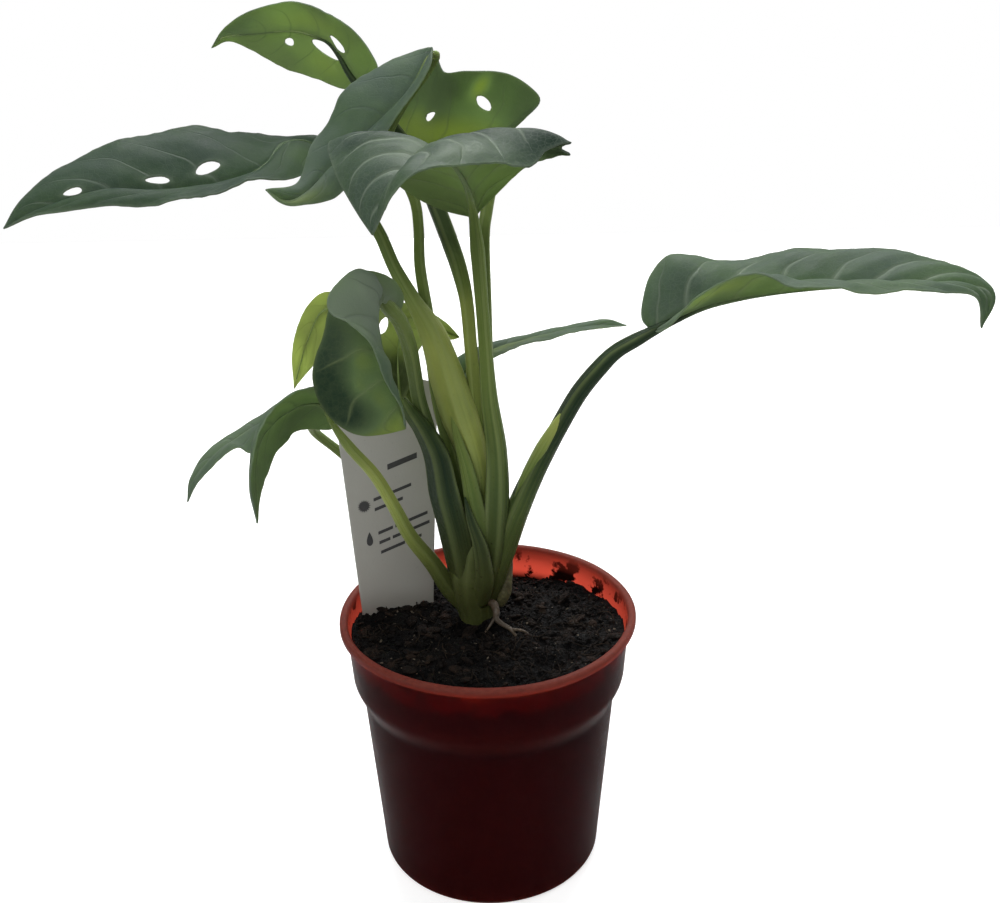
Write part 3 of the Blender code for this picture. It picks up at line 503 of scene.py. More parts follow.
leaves = {
    # rib, left, right: points in mm on the midrib and the two margins, from the stalk to the tip
    # bulge: how far the left and the right half arch. wave: mm, ripples along the blade, where they start
    # veins: count, sweep, width, strength. quilt: mm that the blade rises between them
    # tone: painted light and shade over the whole face, lighter or darker, above and below. ribTone: 0 dark to
    # 1 pale, for the midrib underneath
    # holes: place along and across, length and width in mm, turn in degrees
    # spots of painted light (lighter) and painted shade (darker), then spots of painted grey sheen: place
    # along and across, reach along and across, amount
    "leaf_top_left": {
        "rib": [(-39, 34, 275), (-44, 38, 283), (-49, 43, 288), (-60, 50, 291), (-75, 56, 290),
                (-86, 60, 289), (-91, 62, 285)],
        "left": [(-32, 30, 281), (-42, 34, 294), (-57, 44, 300), (-73, 52, 298), (-85, 59, 292)],
        "right": [(-44, 42, 273), (-56, 50, 276), (-69, 57, 280), (-83, 62, 287)],
        "bulge": (0.10, 0.10), "wave": (0.5, 3, 0.2), "veins": (6, 0.18, 0.06, 0.20), "quilt": 0.15,
        "age": "mature", "tone": (0.0, 0.15), "ribTone": 0.75,
        "holes": [(0.295, -0.20, 13, 4.6, -6), (0.245, 0.17, 8, 2.0, 10), (0.53, -0.31, 3.8, 3.0, 0),
                  (0.11, -0.54, 2.8, 2.2, 0), (0.25, -0.56, 1.8, 0.9, 0)],
        "paintedLightAndShade": [(0.85, 0.5, 0.12, 0.5, -0.4), (0.45, 0.4, 0.18, 0.3, 0.25),
                    (0.3, -0.6, 0.12, 0.3, 0.3)],
    },
    "leaf_top_drape": {
        "rib": [(-14, 18, 288), (-21, 8, 277), (-32, 2, 267), (-44, -6, 257), (-51, -18, 251),
                (-56, -26, 250), (-61, -30, 254)],
        "left": [(-14, 10, 284), (-18, 5, 278), (-24, 0, 270), (-33, -6, 260), (-42, -14, 249),
                 (-52, -24, 248), (-57, -29, 250)],
        "right": [(-20, 24, 286), (-33, 21, 281), (-41, 15, 276), (-46, 8, 268), (-51, -1, 261),
                  (-54, -16, 253)],
        "bulge": (0.10, 0.10), "wave": (0.5, 4, 0.6), "veins": (6, 0.20, 0.08, 0.14), "quilt": 0.05,
        "age": "mature", "tone": (0.0, 0.0), "ribTone": 0.1,
        "paintedLightAndShade": [(0.85, 0.5, 0.12, 0.5, 0.5)],
    },
    "leaf_top_back": {
        "rib": [(8, 34, 257), (-3, 37, 252), (-17, 44, 251), (-31, 53, 252), (-44, 68, 262)],
        "left": [(16, 30, 265), (20, 29, 271), (10, 31, 278), (-3, 34, 279), (-11, 42, 278),
                 (-14, 45, 283), (-20, 50, 280), (-29, 55, 271)],
        "right": [(9, 42, 253), (0, 51, 242), (-14, 58, 239), (-29, 66, 241), (-41, 71, 252)],
        "bulge": (0.10, 0.10), "wave": (0.6, 3, 0.0), "veins": (5, 0.10, 0.06, 0.45), "quilt": 0.20,
        "age": "mature", "tone": (0.0, 0.0), "ribTone": 0.45,
        "holes": [(0.322, 0.63, 8, 2.3, 50), (0.527, 0.45, 4.4, 3.0, 116), (0.20, 0.28, 1.6, 1.4, 0)],
        "paintedLightAndShade": [(0.4, 0.24, 0.6, 0.20, 0.80), (0.4, 0.9, 0.7, 0.40, -0.35), (0.4, -0.6, 0.5, 0.5, 0.4),
                    (0.365, 0.82, 0.025, 0.14, 1.1)],
    },
    "leaf_front": {
        "rib": [(-2, 2, 238), (-3, -6, 247), (-7, -20, 258), (-14, -34, 266), (-20, -54, 264),
                (-24, -64, 257), (-28, -68, 249)],
        "left": [(7, -4, 248), (15, -14, 257), (21, -25, 261), (26, -29, 262), (23, -31, 264),
                 (26, -33, 266), (19, -36, 265), (14, -44, 262), (5, -54, 264), (-6, -64, 266),
                 (-15, -72, 266), (-22, -74, 260)],
        "right": [(-11, 4, 240), (-22, 6, 245), (-33, -9, 257), (-43, -19, 265), (-40, -40, 261),
                  (-34, -57, 255)],
        "bulge": (0.16, 0.10), "wave": (0.5, 4, 0.3), "veins": (9, 0.18, 0.15, 1.0), "quilt": 0.60,
        "age": "mature", "tone": (-0.35, 0.25), "ribTone": 0.4,
        "paintedLightAndShade": [(0.50, -0.45, 0.06, 0.25, -0.9), (0.50, 0.30, 0.05, 0.25, -0.9),
                    (0.40, 0.95, 0.12, 0.30, -0.9), (0.62, -0.7, 0.06, 0.2, -0.5)],
        "paintedSheens": [(0.58, 0.0, 0.30, 0.16, 0.45), (0.66, 0.7, 0.10, 0.2, 0.35)],
    },
    "leaf_far_left": {
        "rib": [(-48, 22, 256), (-57, 20, 260), (-62, 14, 260), (-67, 2, 255), (-76, -6, 252),
                (-92, -12, 251), (-110, -20, 253), (-127, -27, 249), (-137, -30, 244)],
        "left": [(-49, 14, 253), (-56, 0, 252), (-67, -12, 253), (-78, -18, 251), (-90, -22, 249),
                 (-106, -26, 249), (-125, -30, 248)],
        "right": [(-52, 32, 259), (-67, 28, 260), (-79, 22, 263), (-92, 15, 265), (-105, 6, 264),
                  (-120, -6, 260), (-132, -22, 252)],
        "bulge": (0.10, 0.10), "wave": (0.6, 5, 0.1), "veins": (7, 0.22, 0.06, 0.42), "quilt": 0.22,
        "age": "mature", "tone": (-0.60, 0.0), "ribTone": 0.1,
        "holes": [(0.44, -0.20, 8.0, 4.0, 10), (0.58, -0.12, 7.0, 3.0, 0), (0.80, -0.10, 5.5, 3.0, 0)],
        "paintedLightAndShade": [(0.12, 0.6, 0.10, 0.6, 0.5), (0.5, -0.5, 0.2, 0.3, -0.2)],
    },
    "leaf_far_right": {
        "rib": [(54, -8, 203), (60, -9, 207), (68, -10, 211), (77, -12, 214), (88, -16, 217),
                (102, -22, 220), (124, -30, 223), (140, -36, 224), (147, -38, 221), (146, -40, 212)],
        "left": [(51, -5, 206), (52, 0, 212), (55, 6, 218), (61, 10, 223), (70, 11, 222), (81, 9, 221),
                 (103, 2, 226), (124, -8, 228), (141, -22, 227), (151, -33, 221)],
        "right": [(56, -12, 204), (60, -19, 210), (64, -25, 218), (71, -28, 224), (82, -32, 227),
                  (92, -38, 225), (108, -44, 225), (127, -46, 225), (141, -44, 223)],
        "bulge": (0.08, 0.08), "wave": (0.6, 5, 0.5), "veins": (8, 0.20, 0.13, 0.85), "quilt": 0.85,
        "age": "mature", "tone": (-0.12, 0.0), "ribTone": 0.3,
        "paintedLightAndShade": [(0.22, -0.5, 0.12, 0.3, 0.6), (0.15, 0.4, 0.1, 0.4, -0.3), (0.5, 0.4, 0.1, 0.3, -0.3)],
        "paintedSheens": [(0.02, -0.5, 0.14, 0.6, 0.5)],
    },
    "leaf_slim_right": {
        "rib": [(-10, 38, 170), (1, 42, 180), (17, 48, 183), (38, 55, 185), (54, 60, 184)],
        "left": [(-10, 44, 177), (3, 50, 181), (23, 57, 183), (44, 61, 186)],
        "right": [(-5, 34, 170), (3, 36, 180), (26, 44, 185), (45, 54, 185)],
        "bulge": (0.12, 0.12), "wave": (0.3, 3, 0.0), "veins": (6, 0.25, 0.12, 0.40), "quilt": 0.15,
        "age": "mature", "tone": (0.0, 0.0), "ribTone": 0.4,
        "paintedLightAndShade": [(0.3, -0.5, 0.2, 0.4, 0.5)],
    },
    "leaf_mid_hood": {
        "rib": [(-29, -30, 223), (-30, -36, 222), (-30, -41, 219), (-29, -45, 213), (-27, -47, 205),
                (-25, -48, 197), (-23, -48, 187)],
        "left": [(-25, -24, 216), (-24, -22, 220), (-27, -25, 226), (-33, -31, 230), (-40, -36, 229),
                 (-44, -39, 222), (-46, -43, 214), (-48, -46, 209), (-49, -48, 203), (-47, -49, 195),
                 (-42, -50, 189), (-36, -50, 186), (-29, -49, 186)],
        "right": [(-30, -33, 227), (-31, -38, 231), (-35, -44, 234), (-39, -51, 233), (-42, -55, 229),
                  (-41, -57, 225), (-37, -58, 223), (-33, -57, 218), (-30, -56, 212), (-27, -54, 203),
                  (-24, -51, 195)],
        "bulge": (-0.10, 0.12), "wave": (0.5, 3, 0.4), "veins": (6, 0.15, 0.12, 0.60), "quilt": 0.60,
        "age": "mature", "tone": (0.0, 0.0), "ribTone": 0.3,
        "paintedLightAndShade": [(0.60, 0.85, 0.16, 0.30, -1.0), (0.78, 0.75, 0.10, 0.35, -1.0),
                    (0.58, 0.38, 0.05, 0.14, 0.5), (0.69, 0.44, 0.05, 0.10, 0.45),
                    (0.76, 0.24, 0.06, 0.12, 0.4), (0.94, 0.6, 0.08, 0.8, 0.9)],
        "paintedSheens": [(0.30, -0.6, 0.24, 0.7, 0.85), (0.52, -0.9, 0.12, 0.3, 0.5),
                   (0.12, 0.4, 0.14, 0.6, 0.5)],
    },
    "leaf_mid_back": {
        "rib": [(-44, 14, 196), (-46, 18, 203), (-54, 24, 202), (-61, 28, 189), (-67, 30, 172)],
        "left": [(-41, 18, 204), (-46, 24, 208), (-55, 28, 207), (-63, 30, 198), (-67, 31, 184)],
        "right": [(-47, 18, 190), (-54, 22, 185), (-59, 26, 182), (-64, 29, 176)],
        "bulge": (0.12, 0.12), "wave": (0.4, 3, 0.0), "veins": (6, 0.20, 0.08, 0.35), "quilt": 0.15,
        "age": "young", "tone": (0.1, 0.1), "ribTone": 1.0,
    },
    "leaf_low_near": {
        "rib": [(-46, -25, 179), (-50, -30, 189), (-58, -38, 190), (-63, -46, 188), (-66, -52, 184),
                (-67, -56, 175), (-67, -58, 162)],
        "left": [(-46, -38, 196), (-54, -44, 198), (-62, -54, 194), (-65, -60, 188), (-67, -62, 175)],
        "right": [(-49, -22, 177), (-58, -28, 179), (-61, -34, 178), (-64, -44, 175), (-66, -52, 170)],
        "bulge": (0.10, 0.10), "wave": (0.4, 3, 0.5), "veins": (6, 0.20, 0.10, 0.30), "quilt": 0.15,
        "age": "mature", "tone": (0.0, 0.0), "ribTone": 0.4,
        "paintedLightAndShade": [(0.3, -0.4, 0.2, 0.4, -0.2)],
    },
    "leaf_low_far": {
        "rib": [(-61, 0, 177), (-73, -4, 173), (-83, -8, 168), (-90, -11, 162), (-96, -13, 155),
                (-98, -14, 149)],
        "left": [(-62, -14, 174), (-74, -16, 167), (-79, -17, 169), (-86, -18, 165), (-92, -18, 159)],
        "right": [(-66, 10, 176), (-74, 8, 170), (-81, 5, 167), (-88, 2, 164), (-93, -2, 161),
                  (-97, -8, 156)],
        "bulge": (0.10, 0.10), "wave": (0.4, 3, 0.2), "veins": (6, 0.25, 0.10, 0.50), "quilt": 0.20,
        "age": "mature", "tone": (0.0, 0.0), "ribTone": 0.5,
        "paintedSheens": [(0.5, 0.0, 0.6, 0.9, 0.3)],
    },
    "leaf_small_back": {
        "rib": [(-27, -5, 179), (-28, 2, 186), (-28, 10, 194), (-26, 18, 200), (-20, 24, 199),
                (-13, 28, 193), (-8, 30, 190)],
        "left": [(-34, -2, 181), (-38, 4, 189), (-39, 12, 197), (-36, 18, 203), (-29, 22, 205),
                 (-21, 26, 202), (-13, 29, 196)],
        "right": [(-24, -2, 184), (-22, 9, 191), (-19, 21, 192), (-15, 28, 191), (-11, 31, 189)],
        "bulge": (0.10, 0.10), "wave": (0.4, 3, 0.7), "veins": (6, 0.20, 0.08, 0.30), "quilt": 0.15,
        "age": "young", "tone": (0.1, 0.1), "ribTone": 1.0,
        "holes": [(0.46, 0.55, 6.0, 3.0, 0)],
        "paintedLightAndShade": [(0.10, 0.0, 0.20, 1.5, -1.0), (0.2, 0.0, 0.12, 1.5, -0.5),
                    (0.98, 0.0, 0.08, 1.5, -0.4)],
    },
}


def leafCurves(leaf):
    # The midrib and the two margins as even curves, and the midrib's length.
    rib, length = smoothCurve(leaf["rib"], 241)
    start, tip = leaf["rib"][0], leaf["rib"][-1]
    left, right = (smoothCurve([start, *leaf[side], tip], 241)[0] for side in ("left", "right"))
    return rib, left, right, length


def holeReach(x, y, hole, index):
    # How far each point of the flat pattern lies from the hole's centre: 1 on its uneven edge.
    cx, cy, long, wide, turn = hole
    c, s = math.cos(turn), math.sin(turn)
    a = (c * (x - cx) + s * (y - cy)) / (long / 2)
    b = (c * (y - cy) - s * (x - cx)) / (wide / 2)
    angle = np.arctan2(b, a)
    return np.hypot(a, b) / (1 + 0.06 * np.sin(3 * angle + index) + 0.04 * np.sin(2 * angle + 2 * index))


def leafGrid(holes, length, width):
    # Places along and across the flat blade. Points that fall in a hole move to its edge.
    def half(u):
        return width * np.sin(math.pi * np.clip(u, 0, 1)) ** leafShape["fullness"]

    along = np.linspace(0, 1, leafShape["stations"] + 1)
    even = np.linspace(0, 1, int(np.clip(width / leafShape["column"], 24, 46)))
    places = even - 0.075 * np.sin(2 * math.pi * even)      # closer at the midrib and at the margin
    across = np.concatenate([-places[:0:-1], places])
    U, V = (grid.ravel() for grid in np.meshgrid(along, across, indexing="ij"))
    X, Y = U * length, V * half(U)
    inside = np.zeros(len(U), bool)
    nearHole = np.full(len(U), 99.0)
    for index, (hu, hv, long, wide, turn) in enumerate(holes):
        hole = (hu * length, hv * half(hu), long, wide, math.radians(turn))
        reach = holeReach(X, Y, hole, index)
        within = reach < 1
        inside |= within
        X = np.where(within, hole[0] + (X - hole[0]) / np.maximum(reach, 0.05), X)
        Y = np.where(within, hole[1] + (Y - hole[1]) / np.maximum(reach, 0.05), Y)
        nearHole = np.minimum(nearHole, np.where(within, 0, (reach - 1) * wide / 2))
    U = np.where(inside, np.clip(X / length, 0, 1), U)
    V = np.where(inside, np.clip(Y / np.maximum(half(U), 1e-6), -1, 1), V)
    return U, V, inside, nearHole, len(across)


def leafSheet(leaf, seed):
    rib, leftEdge, rightEdge, length = leafCurves(leaf)
    width = max(np.linalg.norm(margin - rib, axis=1).max() for margin in (leftEdge, rightEdge))
    U, V, inside, nearHole, columns = leafGrid(leaf.get("holes", []), length, width)
    left = V >= 0
    away = np.abs(V)
    middle = onCurve(rib, U)
    out = np.where(left[:, None], onCurve(leftEdge, U), onCurve(rightEdge, U)) - middle
    up = np.cross(headingOn(rib, U, 0.01), np.where(left[:, None], out, -out))
    halfWidth = np.linalg.norm(out, axis=1)
    arch = np.where(left, *leaf["bulge"]) * 4 * away * (1 - away)
    points = middle + out * away[:, None] + up * arch[:, None]

    # edge waves, swellings between the veins, the midrib's groove and small unevenness, in mm
    swell = np.sin(math.pi * U)
    height, ripples, start = leaf["wave"]
    lift = height * away ** 2 * swell * np.sin(2 * math.pi * (ripples * U + start + 0.37 * left))
    count, sweep, _, _ = leaf["veins"]
    phase = (U - sweep * away ** 1.3) * count
    envelope = smoothStep(0, 0.2, away) * (1 - smoothStep(0.7, 1, away)) * swell ** 0.5
    lift = lift + leaf["quilt"] * (0.5 - 0.5 * np.cos(2 * math.pi * phase)) * envelope
    lift -= leafShape["groove"] * np.exp(-(away * halfWidth / leafShape["grooveWidth"]) ** 2) * (1 - U) ** 0.4
    lift += leafShape["pucker"] * bumpiness(points, 0.16, seed) * swell
    lift += leafShape["frill"] * away ** 8 * bumpiness(points, 0.35, seed + 5) * swell * 2
    points = points + unit(up) * lift[:, None]

    faces = []
    for i in range(leafShape["stations"]):
        for j in range(columns - 1):
            corners = (i * columns + j, (i + 1) * columns + j, (i + 1) * columns + j + 1, i * columns + j + 1)
            if not all(inside[k] for k in corners):
                faces.append(corners)
    # Painted highlight along the margin and round the holes.
    glow = np.maximum(np.exp(-nearHole / leafShape["paintedHoleLight"]),
                      np.exp(-(1 - away) * halfWidth / leafShape["paintedEdgeLight"]))
    # Painted light and shade, and painted sheen, as spots on the blade.
    shade, paintedSheen = np.zeros(len(U)), np.zeros(len(U))
    for spots, value in ((leaf.get("paintedLightAndShade", []), shade), (leaf.get("paintedSheens", []), paintedSheen)):
        for pu, pv, du, dv, amount in spots:
            value += amount * np.exp(-((U - pu) / du) ** 2 - ((V - pv) / dv) ** 2)
    return points * mm, faces, {"along": U, "across": V, "halfWidth": halfWidth, "paintedEdgeLight": glow,
                                "shade": np.clip(shade, -1, 1), "paintedSheen": np.clip(paintedSheen, 0, 1)}


def addLeaf(name, leaf, seed):
    points, faces, values = leafSheet(leaf, seed)
    upper = leafMaterial(name + "Upper", leaf, "upper")
    under = leafMaterial(name + "Under", leaf, "under")
    piece = meshObject(name + "_blade", points, faces, [upper, under])
    for label, value in values.items():
        pointValues(piece, label, value)
    build = bmesh.new()
    build.from_mesh(piece.data)
    bmesh.ops.remove_doubles(build, verts=build.verts, dist=0.02 * mm)
    loose = [v for v in build.verts if not v.link_faces]
    bmesh.ops.delete(build, geom=loose, context="VERTS")
    build.to_mesh(piece.data)
    build.free()
    thick = piece.modifiers.new("thickness", "SOLIDIFY")
    thick.thickness = leafShape["thickness"] * mm
    thick.offset = 0
    thick.material_offset = 1
    place(piece, [name])


def addLeaves():
    for seed, (name, leaf) in enumerate(leaves.items()):
        addLeaf(name, leaf, 3.1 * seed + 1)
    print("leaves made:", len(leaves))


# Stalks, crown and roots

stalkLook = {
    # pale, green and dark: the stalk colours from tint 1 down to 0, from painted light to painted shade, over
    # the stalk's own colour.
    "pale": (0.300, 0.345, 0.085),
    "green": (0.100, 0.148, 0.036),
    "dark": (0.011, 0.025, 0.012),
    # edge: a painted highlight on the groove's edges, and the flanges' own pale lines.
    "edge": (0.240, 0.290, 0.120),
    "ribDark": (0.060, 0.098, 0.055),
    "ribPale": (0.190, 0.255, 0.085),
    "base": (0.050, 0.056, 0.016),
    "speck": (0.018, 0.014, 0.006),
    "roughness": 0.36,
    "gloss": 0.09,
}

crownPoint = (-4, 9, 90)
stalks = {
    # leaf that it carries: path in mm, and at each of its points the radius in mm and the tint, with painted
    # light and shade in it
    # tint: 0 dark to 1 pale, the stalk's own colour and painted light and shade
    # groove: the side of its groove. flanges: start and end along the stalk, side, height in mm
    # ribEnd: where the midrib's colour ends, as a share of the blade's part of the path
    "far_left": {
        "path": [(-48, 22, 256), (-41, 16, 244), (-33, 12, 232), (-28, 8, 221), (-22, 6, 210),
                 (-16, 4, 199), (-12, 2, 186), (-8, 2, 172), (-4, 3, 158), (-2, 4, 144), (-3, 6, 122),
                 crownPoint],
        "radii": [1.7, 1.9, 2.0, 2.1, 2.6, 4.3, 5.6, 6.2, 5.2, 3.8, 3.2, 3.0],
        "tintAndLight": [0.35, 0.35, 0.36, 0.42, 0.62, 0.85, 1.0, 1.0, 0.85, 0.65, 0.4, 0.2],
        "groove": (-0.9, -1, 0.3), "ribEnd": 1.1,
        "flanges": [(0.36, 0.86, (-0.9, -0.6, 0.0), 0.8), (0.32, 0.58, (0.6, -1.0, 0.3), 0.5)],
    },
    "top_drape": {
        "path": [(-14, 18, 288), (-13, 21, 285), (-17, 24, 279), (-24, 23, 270), (-29, 18, 260),
                 (-25, 16, 250), (-21, 15, 241), (-20, 14, 232), (-20, 13, 220), (-18, 11, 204),
                 (-15, 8, 175), (-6, 6, 131), crownPoint],
        "radii": [1.3, 1.5, 1.6, 1.6, 1.6, 1.6, 1.7, 1.7, 1.8, 2.0, 2.5, 3.0, 3.0],
        "tintAndLight": [0.45, 0.45, 0.45, 0.45, 0.45, 0.45, 0.50, 0.50, 0.50, 0.50, 0.45, 0.40, 0.3],
        "groove": (-0.4, -1, 0),
    },
    "top_left": {
        "path": [(-39, 34, 275), (-32, 34, 266), (-24, 31, 256), (-18, 26, 246), (-14, 21, 237),
                 (-10, 15, 227), (-7, 9, 219), (-5, 5, 210), (-4, 4, 196), (-3, 3, 176), (-3, 4, 150),
                 crownPoint],
        "radii": [1.8, 2.2, 2.5, 2.7, 2.8, 2.8, 2.6, 2.2, 2.1, 2.4, 3.2, 4.0],
        "tintAndLight": [0.02, 0.02, 0.03, 0.05, 0.08, 0.15, 0.40, 0.75, 0.85, 0.70, 0.35, 0.1],
        "groove": (0.5, -1, 0), "ribEnd": 0.65,
    },
    "front": {
        "path": [(-2, 2, 238), (-1, 0, 228), (0, -1, 212), (1, -2, 196), (2, -3, 179), (4, -3, 161),
                 (4, -2, 142), (2, 2, 117), crownPoint],
        "radii": [2.5, 2.3, 2.1, 2.2, 2.7, 3.5, 4.1, 4.0, 4.0],
        "tintAndLight": [0.50, 0.52, 0.56, 0.50, 0.38, 0.28, 0.20, 0.12, 0.05],
        "groove": (-0.55, -1, 0),
        "flanges": [(0.50, 0.95, (-0.8, -0.6, 0.0), 0.5)],
    },
    "top_back": {
        "path": [(8, 34, 257), (7, 29, 252), (4, 20, 245), (2, 13, 237), (1, 9, 230), (1, 7, 210),
                 (1, 5, 176), (1, 5, 139), crownPoint],
        "radii": [1.8, 1.9, 2.0, 2.0, 2.0, 2.2, 2.6, 3.0, 3.0],
        "tintAndLight": [0.45, 0.45, 0.45, 0.45, 0.45, 0.45, 0.45, 0.40, 0.3],
        "groove": (0.2, -1, 0),
    },
    "far_right": {
        "path": [(54, -8, 203), (49, -8, 200), (43, -7, 196), (38, -7, 191), (31, -5, 181), (24, -3, 167),
                 (17, -1, 152), (11, 0, 137), (6, 3, 121), (2, 5, 108), crownPoint],
        "radii": [2.4, 2.2, 2.4, 2.7, 2.9, 3.0, 3.5, 4.1, 4.5, 4.5, 4.0],
        "tintAndLight": [0.0, 0.0, 0.0, 0.0, 0.0, 0.02, 0.08, 0.20, 0.22, 0.12, 0.05],
        "groove": (-1, -0.3, 0.6),
        "flanges": [(0.60, 0.86, (-0.9, -0.25, 0.5), 3.4)],
    },
    "mid_hood": {
        "path": [(-29, -30, 223), (-28, -27, 218), (-25, -20, 211), (-23, -13, 201), (-22, -9, 191),
                 (-21, -5, 180), (-18, 0, 164), (-15, 3, 144), (-10, 6, 115), crownPoint],
        "radii": [2.0, 2.3, 2.4, 2.4, 2.3, 2.3, 2.5, 3.0, 4.0, 4.0],
        "tintAndLight": [0.25, 0.45, 0.50, 0.40, 0.28, 0.18, 0.14, 0.10, 0.06, 0.0],
        "groove": (-0.5, -1, 0.2),
    },
    "small_back": {
        "path": [(-27, -5, 179), (-24, -6, 176), (-20, -6, 170), (-16, -5, 160), (-14, -3, 146),
                 (-11, 0, 130), (-8, 4, 110), crownPoint],
        "radii": [1.7, 2.4, 3.2, 4.2, 5.0, 5.2, 5.0, 4.0],
        "tintAndLight": [0.35, 0.12, 0.04, 0.0, 0.0, 0.0, 0.04, 0.0],
        "groove": (-0.8, -0.6, 0.2),
        "flanges": [(0.15, 0.85, (0.9, -0.5, 0.0), 1.1)],
    },
    "low_near": {
        "path": [(-46, -25, 179), (-43, -22, 171), (-36, -17, 159), (-31, -12, 146), (-26, -6, 131),
                 (-19, 0, 117), (-13, 4, 104), crownPoint],
        "radii": [1.5, 1.7, 1.9, 2.1, 2.4, 2.8, 3.2, 3.0],
        "tintAndLight": [0.55, 0.70, 0.90, 0.95, 0.85, 0.65, 0.45, 0.3],
        "groove": (0.3, -0.6, 1),
    },
    "mid_back": {
        "path": [(-44, 14, 196), (-33, 12, 187), (-26, 10, 178), (-20, 10, 163), (-16, 10, 144),
                 (-10, 9, 114), crownPoint],
        "radii": [1.4, 1.6, 1.6, 1.7, 1.8, 2.0, 2.0],
        "tintAndLight": [0.45, 0.45, 0.45, 0.45, 0.45, 0.40, 0.3],
        "groove": (0, -1, 0.4),
    },
    "low_far": {
        "path": [(-61, 0, 177), (-59, 6, 170), (-59, 18, 160), (-50, 28, 146), (-36, 31, 127),
                 (-22, 27, 108), crownPoint],
        "radii": [1.4, 1.6, 1.6, 1.7, 1.7, 1.8, 2.0],
        "tintAndLight": [0.50, 0.50, 0.50, 0.50, 0.45, 0.40, 0.3],
        "groove": (0, 0.3, 1),
    },
    "slim_right": {
        "path": [(-10, 38, 170), (-9, 32, 158), (-6, 24, 138), (-3, 14, 111), crownPoint],
        "radii": [1.5, 1.7, 1.8, 2.0, 2.0],
        "tintAndLight": [0.35, 0.35, 0.35, 0.30, 0.2],
        "groove": (0, -0.6, 1),
    },
}

sheaths = {
    # leaf sheaths that wrap the stalks low down: path, radii, tint with painted light and shade
    "innerSheath": ([(-11, -2, 177), (-9, -3, 166), (-6, -3, 154), (-4, -2, 142), (-2, 0, 128), (-3, 4, 108)],
                    [0.3, 1.4, 2.5, 3.2, 3.6, 3.6], 0.65),
    "lowSheath": ([(-7, -6, 145), (-5, -5, 136), (-2, -4, 125), (-1, -2, 112), (-3, 3, 100)],
                  [0.3, 1.5, 2.6, 3.4, 3.4], 0.0),
    "sheathFlap": ([(28, -5, 177), (24, -5, 171), (19, -4, 162), (14, -2, 151), (10, -1, 140)],
                   [0.4, 1.5, 2.0, 1.8, 1.0], 1.0),
}

crownShape = {
    "path": [(-4, 9, 78), (-4, 9, 87), (-4, 8, 94), (-5, 7, 102), (-5, 6, 111), (-4, 5, 121), (-3, 5, 130)],
    "radii": [5.2, 5.6, 6.4, 8.0, 8.8, 7.6, 4.5],
    "tintAndLights": [0.25, 0.12, 0.10],
    "ridges": (-2.9, -2.3, -1.8, -1.3, -0.8, -0.2, 0.6, 1.4, 2.3),      # their turns round the crown
}

tubeShape = {
    "grooveDepth": 0.16,        # as a share of the radius; the rest are radians round the tube
    "grooveWidth": 0.42,
    "rails": (0.75, 0.25),      # where the groove's two edges stand, and how wide they are
    "flange": 0.22,
    "flangeLine": 0.15,         # the pale line on a flange
}


def stalkMaterial():
    material, tree, shader = startMaterial("stalkSkin")
    tone = mottled(tree, 45.0, 700.0)
    fleck = speckled(tree, 520.0, 0.16, 0.26)
    height = pointValue(tree, "height")
    tintAndLight = pointValue(tree, "tintAndLight")
    lanes = tree.nodes.new("ShaderNodeCombineXYZ")
    tree.links.new(times(tree, pointValue(tree, "around"), 3.2), lanes.inputs[0])
    tree.links.new(times(tree, height, 6.0), lanes.inputs[1])
    streak = span(tree, noiseValue(tree, 1.6, 3.0, lanes.outputs[0]), 0.35, 0.68)
    # The stalk's own colour with painted light and shade: dark where shaded, pale where lit.
    body = layer(tree, stalkLook["dark"], stalkLook["green"], tintAndLight, 2.0)
    body = mixColour(tree, span(tree, tintAndLight, 0.5, 1.0), body, stalkLook["pale"])
    body = layer(tree, body, stalkLook["green"], tone["Broad"], addUp(tree, 0.04, (tintAndLight, 0.40)))
    body = layer(tree, body, stalkLook["pale"], streak, addUp(tree, 0.04, (tintAndLight, 0.32)))
    # Painted highlight on the groove's edges, and the pale lines of the flanges.
    body = layer(tree, body, stalkLook["edge"], pointValue(tree, "paleEdgeAndHighlight"), 0.55)
    rib = mixColour(tree, pointValue(tree, "ribTone"), stalkLook["ribDark"], stalkLook["ribPale"])
    body = layer(tree, body, rib, pointValue(tree, "rib"), 0.9)
    body = layer(tree, body, stalkLook["base"], span(tree, height, 0.150, 0.100), 0.90)
    brown = addUp(tree, 0.15, (span(tree, height, 0.165, 0.115), 0.8))
    body = layer(tree, body, stalkLook["speck"], fleck, brown)
    rough = addUp(tree, stalkLook["roughness"], (tone["Fine"], 0.15))
    relief = addUp(tree, 0.0, (streak, 0.6), (tone["Fine"], 0.25), (fleck, -0.3))
    dress(tree, shader, body, rough, bump(tree, relief, 0.5, 0.0004), stalkLook["gloss"])
    shader.inputs["Subsurface Weight"].default_value = 0.20
    shader.inputs["Subsurface Radius"].default_value = (0.0016, 0.0024, 0.0006)
    shader.inputs["Subsurface Scale"].default_value = 1.0
    return material


